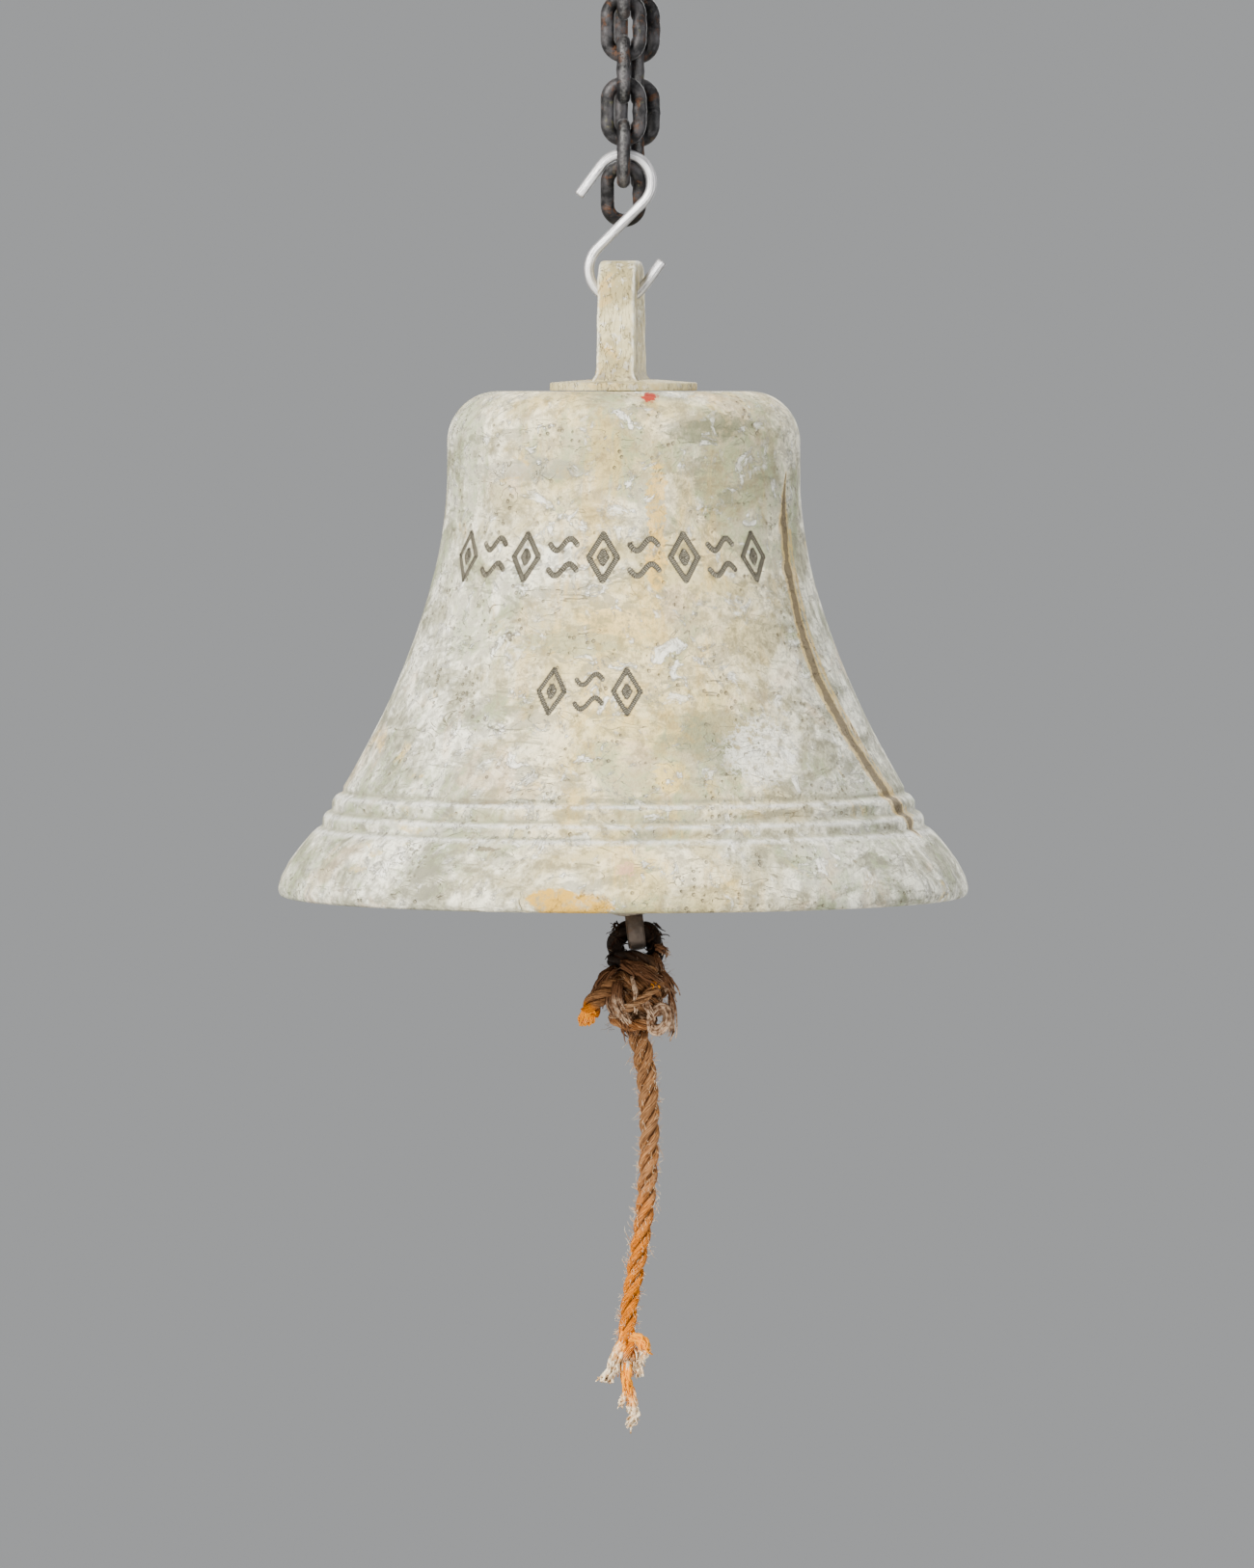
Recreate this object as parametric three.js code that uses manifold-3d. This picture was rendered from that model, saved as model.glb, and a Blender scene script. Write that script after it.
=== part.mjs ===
// A bronze ship's bell hung by an S-hook from a doubled short-link chain, with its iron clapper
// and a short rope lanyard tied through the clapper's tail. Millimetres, +Z up. The origin is on
// the ceiling face of the eye plate, straight above the loaded strand of the chain.

import * as THREE from 'three';
import { mergeVertices } from 'three/addons/utils/BufferGeometryUtils.js';
import Module from 'manifold-3d';

const wasm = await Module();
wasm.setup();

// Clearance between neighbouring faces, and how far a cutting tool runs past what it cuts.
const GAP = 0.3;
const OVERRUN = 2;

// Facets around the round shapes.
const SIDES = {
  rod: 24, hole: 16, bar: 16, wire: 8, ring: 20, bell: 48, flange: 40, lugHole: 20, washer: 32, nut: 6,
  ball: 24, ballBands: 14, tailEye: 24, rope: 10, knot: 16, fray: 12,
};

// Eye plate: a screwed plate with one staple of round bar over each strand of the chain.
const PLATE = { x: 84, y: 64, thickness: 5, holeRadius: 3.25, holeX: 34, holeY: 24 };
const STAPLE = { wire: 3.5, halfSpan: 13.5, corner: 6, drop: 21.65, steps: 18 };
const SLACK_STRAND = new THREE.Vector3(6, 18.5, 0);

// Chain: 6 mm short link, 18.5 mm inside and 8 mm between the sides.
const LINK = { wire: 3, bend: 7, straight: 10.5, bendSides: 16 };
const LINK_LENGTH = LINK.straight + 2 * LINK.bend;
const LINK_PITCH = LINK_LENGTH - 2 * LINK.wire - GAP;
const LINKS_PER_STRAND = 5;
const TAIL_LINK_LEAN = THREE.MathUtils.degToRad(20);

// S-hook of round wire in the XZ plane.
const HOOK = {
  wire: 2.25,
  topBend: 12.2,
  lowBend: 13.05,
  lowBendX: -2,
  bendSpacing: 37.8,
  topTip: 16.2,
  lowTip: 14,
  tipAngle: THREE.MathUtils.degToRad(53.4),
  arcStep: THREE.MathUtils.degToRad(15),
  steps: 50,
};

// Bell: heights are above the plane of its lip.
const LIP_Z = -423;
const CROWN_TOP = 219.7;
const CROWN_UNDERSIDE = 211.5;
const CROWN_HOLE = 8.3;
const SHOULDER = { radius: 76.8, bend: 22, innerBend: 15, steps: 4 };
const WAIST = { top: 180, bottom: 48, radius: 76.8, flare: 45, power: 1.73, steps: 7 };
const WAIST_WALL = { upper: 6, extra: 3.8, from: 90 };
const MOULDING = [
  [122.7, 43.7], [125.7, 41.5], [127.9, 36.4], [129.6, 34.9], [132.4, 29.2],
  [139.3, 23.1], [144.4, 17], [148.5, 9.9], [150.3, 3.8], [149.6, 0],
];
const SOUND_BOW = [[143, 0], [135, 8], [124.5, 21], [116.5, 35]];

// Crown lug: a bevelled plate turned a little about the bell's axis, on a round flange and a stem.
const LUG = {
  x: -1,
  thickness: 16.3,
  bevel: 2.2,
  baseWidth: 40,
  topWidth: 34,
  bottom: 222,
  top: 276.4,
  corner: 12,
  turn: THREE.MathUtils.degToRad(-8),
  hole: 6.4,
  holeHeight: 256.6,
  countersink: 2,
  curveSides: 5,
};
const FLANGE = { radius: 32, rim: 3.2, dome: 1.6 };
const STEM = { radius: 8, bottom: 193.4, socket: 4.3, socketTop: 205.4 };
const WASHER = { radius: 17, thickness: 2.5 };
const NUT = { acrossCorners: 27.7, height: 13 };

// Clapper: a staple on the stem's end, and a rod with a ring at the top, a ball and a drilled tail.
const STAPLE_RING = { bend: 8, wire: 3.5, height: 180 };
const STAPLE_SHANK = { radius: 4, top: 203, collar: 6.5, collarHeight: 3 };
const CLAPPER_RING = { bend: 8, wire: 3 };
const PIVOT_HEIGHT = STAPLE_RING.height - STAPLE_RING.bend;
const ROD = { radius: 5 };
// The ball's two bores run past its centre by these fractions of their length.
const BALL = { radius: 21.85, x: 2, height: 12.6, rodOverrun: 0.02, tailOverrun: 0.2, tailRelief: 0.6 };
const TAIL = { top: 4.4, end: 3.9, x: 6.2, tip: -23.7, eye: 8.6, hole: 5 };

// Lanyard: three-strand rope, drawn through the tail's hole and tied below it.
const ROPE = { radius: 3.9, kneeX: 8.2, legX: 8.4, legEnd: -27.3, bightSteps: 22, fallSteps: 14 };
const KNOT = {
  x: 6,
  profile: [[12.2, -27.6], [13.2, -34], [13.2, -45], [10.5, -53], [5.2, -58.4]],
};
const FALL = [
  [5.7, 0, -58.7], [8.6, 0, -65.5], [10.3, 0, -76], [11.1, 0, -92.8], [11.1, 0, -110.9],
  [9.9, 0, -131], [8.4, 0, -147.4], [4.8, 0, -165], [2.9, 0, -176.8], [1.5, 0, -193.6],
];
const FRAY = {
  x: 1.8,
  profile: [[4.4, -193.9], [9, -202], [8, -213], [2.6, -219], [3.2, -229], [1.2, -235.6]],
};

const STEEL = { color: 0x3c3b3b, roughness: 0.6, metalness: 0.7 };
const BRIGHT = { color: 0xc6c8cc, roughness: 0.3, metalness: 0.9 };
const BRONZE = { color: 0xb9b7a8, roughness: 0.75, metalness: 0.25 };
const BRASS = { color: 0xa59c78, roughness: 0.7, metalness: 0.3 };
const IRON = { color: 0x6a5d52, roughness: 0.8, metalness: 0.5 };
const HEMP = { color: 0x8a5c38, roughness: 0.95, metalness: 0 };
const ORANGE_HEMP = { color: 0xc9812f, roughness: 0.95, metalness: 0 };

// Turns a shape drawn in (Y, Z), with its depth along Z, so that the depth lies along X.
const EDGE_ON = new THREE.Matrix4().makeBasis(
  new THREE.Vector3(0, 1, 0),
  new THREE.Vector3(0, 0, 1),
  new THREE.Vector3(1, 0, 0),
);

/** A closed manifold solid from a three.js geometry. */
function solid(geometry) {
  const bare = geometry.clone();
  bare.deleteAttribute('normal');
  bare.deleteAttribute('uv');
  const merged = mergeVertices(bare, 1e-4);
  const triVerts = new Uint32Array(merged.index.array);
  const vertProperties = merged.attributes.position.array;
  return new wasm.Manifold(new wasm.Mesh({ numProp: 3, vertProperties, triVerts }));
}

/** A three.js geometry from a manifold solid. */
function geometryOf(manifold) {
  const { vertProperties, triVerts } = manifold.getMesh();
  const geometry = new THREE.BufferGeometry();
  geometry.setAttribute('position', new THREE.BufferAttribute(vertProperties, 3));
  geometry.setIndex(new THREE.BufferAttribute(triVerts, 1));
  return geometry;
}

/** All the solids joined into one. */
function join(...geometries) {
  return geometries.map(solid).reduce((whole, next) => whole.add(next));
}

/** A solid of revolution about Z from (radius, height) pairs. */
function turned(profile, segments) {
  const points = profile.map(([radius, height]) => new THREE.Vector2(radius, height));
  return new THREE.LatheGeometry(points, segments).rotateX(Math.PI / 2);
}

/** A turned solid without a bore: the profile is closed on the axis at both ends. */
function turnedSolid(profile, segments) {
  const foot = [0, profile[0][1]];
  const head = [0, profile.at(-1)[1]];
  return turned([foot, ...profile, head], segments);
}

/** A cylinder along Z between two heights. */
function rod(radius, bottom, top, sides = SIDES.rod) {
  const geometry = new THREE.CylinderGeometry(radius, radius, top - bottom, sides);
  return geometry.rotateX(Math.PI / 2).translate(0, 0, (top + bottom) / 2);
}

/** A round wire or rope along a smooth curve through the points. */
function tube(points, radius, sides, steps) {
  const section = new THREE.Shape();
  section.absarc(0, 0, radius, 0, 2 * Math.PI);
  return new THREE.ExtrudeGeometry(new THREE.Shape(section.getPoints(sides).slice(0, sides)), {
    extrudePath: new THREE.CatmullRomCurve3(points),
    steps,
    bevelEnabled: false,
  });
}

/** Points of an arc in the XZ plane, from one angle to another. */
function arc(centre, radius, from, to) {
  const count = Math.ceil(Math.abs(to - from) / HOOK.arcStep);
  return Array.from({ length: count + 1 }, (_, i) => {
    const angle = from + ((to - from) * i) / count;
    const x = centre.x + radius * Math.cos(angle);
    return new THREE.Vector3(x, 0, centre.z + radius * Math.sin(angle));
  });
}

/** The point at a distance from another, in a direction of the XZ plane. */
function onward(point, angle, distance) {
  return new THREE.Vector3(Math.cos(angle), 0, Math.sin(angle)).multiplyScalar(distance).add(point);
}

/** A mesh of the part, in the group given. */
function place(group, name, geometry, finish) {
  const mesh = new THREE.Mesh(geometry, new THREE.MeshStandardMaterial(finish));
  mesh.name = name;
  group.add(mesh);
  return mesh;
}

/** A staple of round bar that hangs below the plate, with its bar along X. */
function staple(at) {
  const { wire, halfSpan, corner, drop, steps } = STAPLE;
  const root = PLATE.thickness / 2;
  const knee = corner * (1 - Math.SQRT1_2);
  const side = [
    [halfSpan, -root], [halfSpan, -drop / 2], [halfSpan, corner - drop],
    [halfSpan - knee, knee - drop], [halfSpan - corner, -drop],
  ];
  const right = side.map(([x, z]) => new THREE.Vector3(x, 0, z));
  const left = side.map(([x, z]) => new THREE.Vector3(-x, 0, z)).reverse();
  return tube([...right, new THREE.Vector3(0, 0, -drop), ...left], wire, SIDES.wire, steps)
    .translate(at.x, at.y, 0);
}

/** The plate screwed to the ceiling, with both staples. */
function eyePlate() {
  const { x, y, thickness, holeRadius, holeX, holeY } = PLATE;
  const middle = SLACK_STRAND.clone().multiplyScalar(0.5);
  const slab = new THREE.BoxGeometry(x, y, thickness).translate(middle.x, middle.y, -thickness / 2);
  let plate = join(slab, staple(new THREE.Vector3()), staple(SLACK_STRAND));
  for (const sx of [-1, 1]) {
    for (const sy of [-1, 1]) {
      const hole = rod(holeRadius, -thickness - OVERRUN, OVERRUN, SIDES.hole);
      plate = plate.subtract(solid(hole.translate(middle.x + sx * holeX, middle.y + sy * holeY, 0)));
    }
  }
  return geometryOf(plate);
}

/** A chain link in the XZ plane: a ring pulled apart by the length of its straight sides. */
function link() {
  const { wire, bend, straight, bendSides } = LINK;
  const ring = new THREE.TorusGeometry(bend, wire, SIDES.wire, bendSides).rotateZ(Math.PI / bendSides);
  const position = ring.attributes.position;
  for (let i = 0; i < position.count; i += 1) {
    const y = position.getY(i);
    position.setY(i, y + (Math.sign(y) * straight) / 2);
  }
  return ring.rotateX(Math.PI / 2);
}

/** One strand of the chain, from the staple's bar down; every other link is edge-on. */
function strand(group, letter, at) {
  const firstTop = -STAPLE.drop + STAPLE.wire + LINK.wire + GAP;
  for (let i = 0; i < LINKS_PER_STRAND; i += 1) {
    const mesh = place(group, `chain_${letter}_link_${i + 1}`, link(), STEEL);
    mesh.position.set(at.x, at.y, firstTop - i * LINK_PITCH - LINK_LENGTH / 2);
    mesh.rotation.z = i % 2 === 0 ? Math.PI / 2 : 0;
  }
  return firstTop - LINKS_PER_STRAND * LINK_PITCH;
}

/** The link below the loaded strand: its end carries the hook and it leans back behind it. */
function tailLink(group, top) {
  const swing = new THREE.Group();
  swing.position.z = top;
  swing.rotation.x = TAIL_LINK_LEAN;
  group.add(swing);
  const mesh = place(swing, `chain_a_link_${LINKS_PER_STRAND + 1}`, link(), STEEL);
  mesh.position.z = -LINK_LENGTH / 2;
}

/** The S-hook, whose upper bend rests on the wire at the given height. */
function sHook(restsOn) {
  const { wire, topBend, lowBend, lowBendX, bendSpacing, topTip, lowTip, tipAngle, steps } = HOOK;
  const top = new THREE.Vector3(0, 0, restsOn + LINK.wire + GAP + wire - topBend);
  const low = new THREE.Vector3(lowBendX, 0, top.z - bendSpacing);
  const joining = Math.atan2(low.z - top.z, low.x - top.x);
  const diagonal = joining - Math.asin((topBend + lowBend) / top.distanceTo(low));
  const quarter = Math.PI / 2;
  const upper = arc(top, topBend, tipAngle + quarter, diagonal + quarter);
  const lower = arc(low, lowBend, diagonal - quarter + 2 * Math.PI, tipAngle - quarter + 2 * Math.PI);
  const points = [
    onward(upper[0], tipAngle + Math.PI, topTip),
    onward(upper[0], tipAngle + Math.PI, topTip / 2),
    ...upper,
    upper.at(-1).clone().lerp(lower[0], 0.5),
    ...lower,
    onward(lower.at(-1), tipAngle, lowTip / 2),
    onward(lower.at(-1), tipAngle, lowTip),
  ];
  return tube(points, wire, SIDES.wire, steps);
}

/** The waist's outer radius at a height: it flares by a power of the distance from its top. */
function waistRadius(height) {
  const { top, bottom, radius, flare, power } = WAIST;
  return radius + flare * Math.max(0, (top - height) / (top - bottom)) ** power;
}

/** The waist's wall: even above, thicker towards the sound bow. */
function waistWall(height) {
  const below = Math.max(0, (WAIST_WALL.from - height) / (WAIST_WALL.from - WAIST.bottom));
  return WAIST_WALL.upper + WAIST_WALL.extra * below ** 2;
}

/** A quarter bend of a profile, from the crown's edge down to the wall. */
function shoulder(radius, crown, bend) {
  return Array.from({ length: SHOULDER.steps + 1 }, (_, i) => {
    const angle = (Math.PI / 2) * (1 - i / SHOULDER.steps);
    return [radius - bend + bend * Math.cos(angle), crown - bend + bend * Math.sin(angle)];
  });
}

/** The bell's shell: outside from the crown hole to the lip, then inside back up. */
function bellShell() {
  const heights = Array.from({ length: WAIST.steps + 1 }, (_, i) => (
    WAIST.top + ((WAIST.bottom - WAIST.top) * i) / WAIST.steps));
  const outside = heights.map((height) => [waistRadius(height), height]);
  const inside = heights.map((height) => [waistRadius(height) - waistWall(height), height]);
  const wall = SHOULDER.radius - WAIST_WALL.upper;
  const profile = [
    [CROWN_HOLE, CROWN_TOP],
    ...shoulder(SHOULDER.radius, CROWN_TOP, SHOULDER.bend),
    ...outside,
    ...MOULDING,
    ...SOUND_BOW,
    ...inside.reverse(),
    ...shoulder(wall, CROWN_UNDERSIDE, SHOULDER.innerBend).reverse(),
    [CROWN_HOLE, CROWN_UNDERSIDE],
    [CROWN_HOLE, CROWN_TOP],
  ];
  return turned(profile.reverse(), SIDES.bell);
}

/** The outline of the lug's plate in (Y, Z). */
function lugOutline() {
  const { baseWidth, topWidth, bottom, top, corner, bevel } = LUG;
  const halfBase = baseWidth / 2 - bevel;
  const halfTop = topWidth / 2 - bevel;
  const crest = top - bevel;
  const outline = new THREE.Shape();
  outline.moveTo(-halfBase, bottom);
  outline.lineTo(halfBase, bottom);
  outline.lineTo(halfTop, crest - corner);
  outline.absarc(halfTop - corner, crest - corner, corner, 0, Math.PI / 2);
  outline.absarc(corner - halfTop, crest - corner, corner, Math.PI / 2, Math.PI);
  return outline;
}

/** The lug with its flange and stem, drilled for the hook and for the clapper's staple. */
function crownLug() {
  const { thickness, bevel, hole, countersink, holeHeight, turn, x, curveSides } = LUG;
  const plate = new THREE.ExtrudeGeometry(lugOutline(), {
    depth: thickness - 2 * bevel,
    bevelThickness: bevel,
    bevelSize: bevel,
    bevelSegments: 1,
    curveSegments: curveSides,
  });
  plate.translate(0, 0, bevel - thickness / 2).applyMatrix4(EDGE_ON);
  const edge = thickness / 2 + OVERRUN;
  const wide = hole + countersink + OVERRUN;
  const narrow = thickness / 2 - countersink;
  const bore = turnedSolid([[wide, -edge], [hole, -narrow], [hole, narrow], [wide, edge]], SIDES.lugHole);
  bore.rotateY(Math.PI / 2).translate(0, 0, holeHeight);
  const lug = solid(plate).subtract(solid(bore)).rotate([0, 0, THREE.MathUtils.radToDeg(turn)]);
  const seat = CROWN_TOP + GAP;
  const flange = turnedSolid([
    [FLANGE.radius, seat],
    [FLANGE.radius, seat + FLANGE.rim],
    [FLANGE.radius / 2, seat + FLANGE.rim + FLANGE.dome],
  ], SIDES.flange);
  const stem = rod(STEM.radius, STEM.bottom, seat + OVERRUN);
  const socket = rod(STEM.socket, STEM.bottom - OVERRUN, STEM.socketTop, SIDES.hole);
  return geometryOf(join(flange, stem).add(lug.translate([x, 0, 0])).subtract(solid(socket)));
}

/** A washer or nut on the stem: a disc with the given number of sides, bored for the stem. */
function stemRing(radius, bottom, top, sides) {
  const bore = rod(CROWN_HOLE, bottom - OVERRUN, top + OVERRUN);
  return geometryOf(solid(rod(radius, bottom, top, sides)).subtract(solid(bore)));
}

/** The staple under the stem: a ring in the YZ plane on a collar and a shank. */
function clapperEye() {
  const { bend, wire, height } = STAPLE_RING;
  const { radius, top, collar: flat, collarHeight } = STAPLE_SHANK;
  const ring = new THREE.TorusGeometry(bend, wire, SIDES.wire, SIDES.ring).rotateY(Math.PI / 2);
  const seat = STEM.bottom - GAP;
  return geometryOf(join(
    ring.translate(0, 0, height),
    rod(flat, seat - collarHeight, seat, SIDES.bar),
    rod(radius, seat - OVERRUN, top, SIDES.bar),
  ));
}

/** A straight round bar between two points of the XZ plane, tapered from one radius to another. */
function bar(from, to, radiusFrom, radiusTo) {
  const geometry = new THREE.CylinderGeometry(radiusTo, radiusFrom, from.distanceTo(to), SIDES.bar);
  const turn = new THREE.Quaternion();
  turn.setFromUnitVectors(new THREE.Vector3(0, 1, 0), to.clone().sub(from).normalize());
  geometry.applyQuaternion(turn);
  const middle = from.clone().lerp(to, 0.5);
  return geometry.translate(middle.x, middle.y, middle.z);
}

/** Where the clapper's ring, ball, tail eye and tip stand. */
function clapperPoints() {
  const ringZ = PIVOT_HEIGHT + STAPLE_RING.wire + CLAPPER_RING.wire + GAP - CLAPPER_RING.bend;
  const ball = new THREE.Vector3(BALL.x, 0, BALL.height);
  const tip = new THREE.Vector3(TAIL.x, 0, TAIL.tip);
  const eye = onward(tip, Math.atan2(ball.z - tip.z, ball.x - tip.x), TAIL.eye);
  return { ring: new THREE.Vector3(0, 0, ringZ), ball, eye };
}

/** A disc across the tail, centred on its hole. */
function tailDisc(radius, thickness) {
  const { ball, eye } = clapperPoints();
  const lean = Math.atan2(ball.x - eye.x, ball.z - eye.z);
  const disc = new THREE.CylinderGeometry(radius, radius, thickness, SIDES.tailEye);
  return disc.rotateZ(Math.PI / 2).rotateY(lean).translate(eye.x, 0, eye.z);
}

/** The clapper's rod: ring in the XZ plane, rod into the ball, and the drilled tail. */
function clapperRod() {
  const { ring, ball, eye } = clapperPoints();
  const { bend, wire } = CLAPPER_RING;
  const loop = new THREE.TorusGeometry(bend, wire, SIDES.wire, SIDES.ring).rotateX(Math.PI / 2);
  const rodTop = new THREE.Vector3(0, 0, ring.z - bend);
  const whole = join(
    loop.translate(0, 0, ring.z),
    bar(ball, rodTop, ROD.radius, ROD.radius),
    bar(eye, ball, TAIL.end, TAIL.top),
    tailDisc(TAIL.eye, 2 * TAIL.end),
  );
  return geometryOf(whole.subtract(solid(tailDisc(TAIL.hole, 2 * (TAIL.end + OVERRUN)))));
}

/** The ball, bored for the rod from above and for the tail and its eye from below. */
function clapperBall() {
  const { ring, ball, eye } = clapperPoints();
  const sphere = new THREE.SphereGeometry(BALL.radius, SIDES.ball, SIDES.ballBands).rotateX(Math.PI / 2);
  const above = new THREE.Vector3(0, 0, ring.z);
  const rodEnd = ball.clone().lerp(above, -BALL.rodOverrun);
  const tailEnd = ball.clone().lerp(eye, -BALL.tailOverrun);
  const bored = solid(sphere.translate(ball.x, 0, ball.z))
    .subtract(solid(bar(rodEnd, above, ROD.radius + GAP, ROD.radius + GAP)))
    .subtract(solid(bar(eye, tailEnd, TAIL.end + GAP, TAIL.top + BALL.tailRelief)))
    .subtract(solid(tailDisc(TAIL.eye + GAP, 2 * (TAIL.end + GAP))));
  return geometryOf(bored);
}

/** The rope's turn through the tail's hole, with both legs down to the knot. */
function lanyardBight() {
  const { eye } = clapperPoints();
  const { radius, kneeX, legX, legEnd, bightSteps } = ROPE;
  const leg = [
    [legX, legEnd], [legX, legEnd + radius], [kneeX, eye.z - radius], [kneeX / 2, eye.z],
  ];
  const right = leg.map(([x, z]) => new THREE.Vector3(eye.x + x, 0, z));
  const left = leg.map(([x, z]) => new THREE.Vector3(eye.x - x, 0, z)).reverse();
  return tube([...right, ...left], radius, SIDES.rope, bightSteps);
}

const shipBell = new THREE.Group();
place(shipBell, 'ceiling_eye_plate', eyePlate(), STEEL);
const tailTop = strand(shipBell, 'a', new THREE.Vector3());
strand(shipBell, 'b', SLACK_STRAND);
tailLink(shipBell, tailTop);
place(shipBell, 's_hook', sHook(tailTop), BRIGHT);

const bell = new THREE.Group();
bell.position.z = LIP_Z;
shipBell.add(bell);
const washerBottom = CROWN_UNDERSIDE - GAP - WASHER.thickness;
const nutTop = washerBottom - GAP;
place(bell, 'bell_shell', bellShell(), BRONZE);
place(bell, 'crown_lug', crownLug(), BRASS);
place(bell, 'crown_washer',
  stemRing(WASHER.radius, washerBottom, washerBottom + WASHER.thickness, SIDES.washer), BRASS);
place(bell, 'crown_nut',
  stemRing(NUT.acrossCorners / 2, nutTop - NUT.height, nutTop, SIDES.nut), BRASS);
place(bell, 'clapper_eye', clapperEye(), IRON);
place(bell, 'clapper_rod', clapperRod(), IRON);
place(bell, 'clapper_ball', clapperBall(), IRON);
place(bell, 'lanyard_bight', lanyardBight(), HEMP);
place(bell, 'lanyard_knot',
  turnedSolid(KNOT.profile.toReversed(), SIDES.knot).translate(KNOT.x, 0, 0), HEMP);
const fall = FALL.map((point) => new THREE.Vector3(...point));
place(bell, 'lanyard_fall', tube(fall, ROPE.radius, SIDES.rope, ROPE.fallSteps), HEMP);
place(bell, 'lanyard_end',
  turnedSolid(FRAY.profile.toReversed(), SIDES.fray).translate(FRAY.x, 0, 0), ORANGE_HEMP);

export default shipBell;
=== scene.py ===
"""A bronze ship's bell on a short-link chain and an S-hook, with its iron clapper and rope lanyard.

Shapes are worked out in millimetres, in the part's own frame: +Z up, the ceiling at 0 and the
engraved front towards -Y. Heights on the bell are above its lip.
"""
import math

import bpy
import numpy as np
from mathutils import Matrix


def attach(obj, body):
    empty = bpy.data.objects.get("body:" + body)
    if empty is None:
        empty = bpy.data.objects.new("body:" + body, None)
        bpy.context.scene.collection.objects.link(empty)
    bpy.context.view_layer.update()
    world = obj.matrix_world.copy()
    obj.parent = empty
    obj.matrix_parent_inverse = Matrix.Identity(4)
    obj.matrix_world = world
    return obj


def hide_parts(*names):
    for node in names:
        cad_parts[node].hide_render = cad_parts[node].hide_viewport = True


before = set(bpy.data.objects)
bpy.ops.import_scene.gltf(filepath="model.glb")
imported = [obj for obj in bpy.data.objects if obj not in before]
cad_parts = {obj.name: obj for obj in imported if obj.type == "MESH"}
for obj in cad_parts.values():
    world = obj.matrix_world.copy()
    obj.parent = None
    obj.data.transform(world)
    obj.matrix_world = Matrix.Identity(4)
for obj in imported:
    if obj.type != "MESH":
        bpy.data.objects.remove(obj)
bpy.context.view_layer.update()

MM = 0.001
TAU = 2 * math.pi
LIP = -423.0
LIP_LEVEL = (0, 0, LIP)
WAIST_TOP, WAIST_RADIUS, WAIST_FLARE = 180, 76.8, 1.73
CROWN_TOP, CROWN_BEND = 219.7, 22
INSIDE_TOP, INSIDE_BEND, WALL = 211.5, 15, 6
STEM_HOLE = 8.3
ENGRAVED = 0.55
LUG_HOLE, LUG_CREST, LUG_FOOT = 256.6, 276.4, 221.0
STEM_BOTTOM, THREAD_PITCH = 193.6, 1.75
BALL_X, BALL_HEIGHT, BALL_RADIUS = 2.0, 12.6, 21.75
RING_BEND = 8.0
ROD_RADIUS, ROD_TOP = 4.95, 163.4
TAIL_RADII = (3.95, 4.4)
scene = bpy.context.scene
dice = np.random.default_rng(1789)


# ---------------------------------------------------------------- surfaces

def unit(vectors):
    """Each vector divided by its length."""
    return vectors / np.linalg.norm(vectors, axis=-1, keepdims=True)


def stacked(*columns):
    """Points whose coordinates are the given numbers or arrays, spread to one common shape."""
    return np.stack(np.broadcast_arrays(*columns), axis=-1)


def circle(count):
    """Angles evenly round a full circle."""
    return np.linspace(0, TAU, count, endpoint=False)


def run_along(path):
    """How far along a path each of its points is: the running sum of the steps between them."""
    steps = np.linalg.norm(np.diff(path, axis=-2), axis=-1)
    return np.concatenate([np.zeros_like(steps[..., :1]), np.cumsum(steps, axis=-1)], axis=-1)


def smooth(points, count):
    """A curve through the points: each span is a cubic, with the slope at a point taken from the
    parabola through it and its two neighbours."""
    points = np.array(points, float)
    knots = run_along(points)
    slopes = np.gradient(points, knots, axis=0)
    where = np.linspace(0, knots[-1], count)
    span = np.clip(np.searchsorted(knots, where, side="right") - 1, 0, len(knots) - 2)
    width = (knots[span + 1] - knots[span])[:, None]
    t = (where - knots[span])[:, None] / width
    return ((1 + 2 * t) * (1 - t) ** 2 * points[span] + t * (1 - t) ** 2 * width * slopes[span]
            + t ** 2 * (3 - 2 * t) * points[span + 1] + t ** 2 * (t - 1) * width * slopes[span + 1])


def softened(profile, radius, steps=5):
    """A profile with all its corners but the ends rounded: each is a parabola between two points that stand
    the radius, or half the side if that is less, away from the corner."""
    profile = np.array(profile, float)
    corner = profile[1:-1]
    t = np.linspace(0, 1, steps)[None, :, None]
    ends = []
    for neighbour in (profile[:-2], profile[2:]):
        side = neighbour - corner
        size = np.linalg.norm(side, axis=1, keepdims=True)
        ends.append((corner + side * np.minimum(0.5, radius / size))[:, None])
    curve = (1 - t) ** 2 * ends[0] + 2 * t * (1 - t) * corner[:, None] + t ** 2 * ends[1]
    return np.concatenate([profile[:1], curve.reshape(-1, 2), profile[-1:]])


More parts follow.
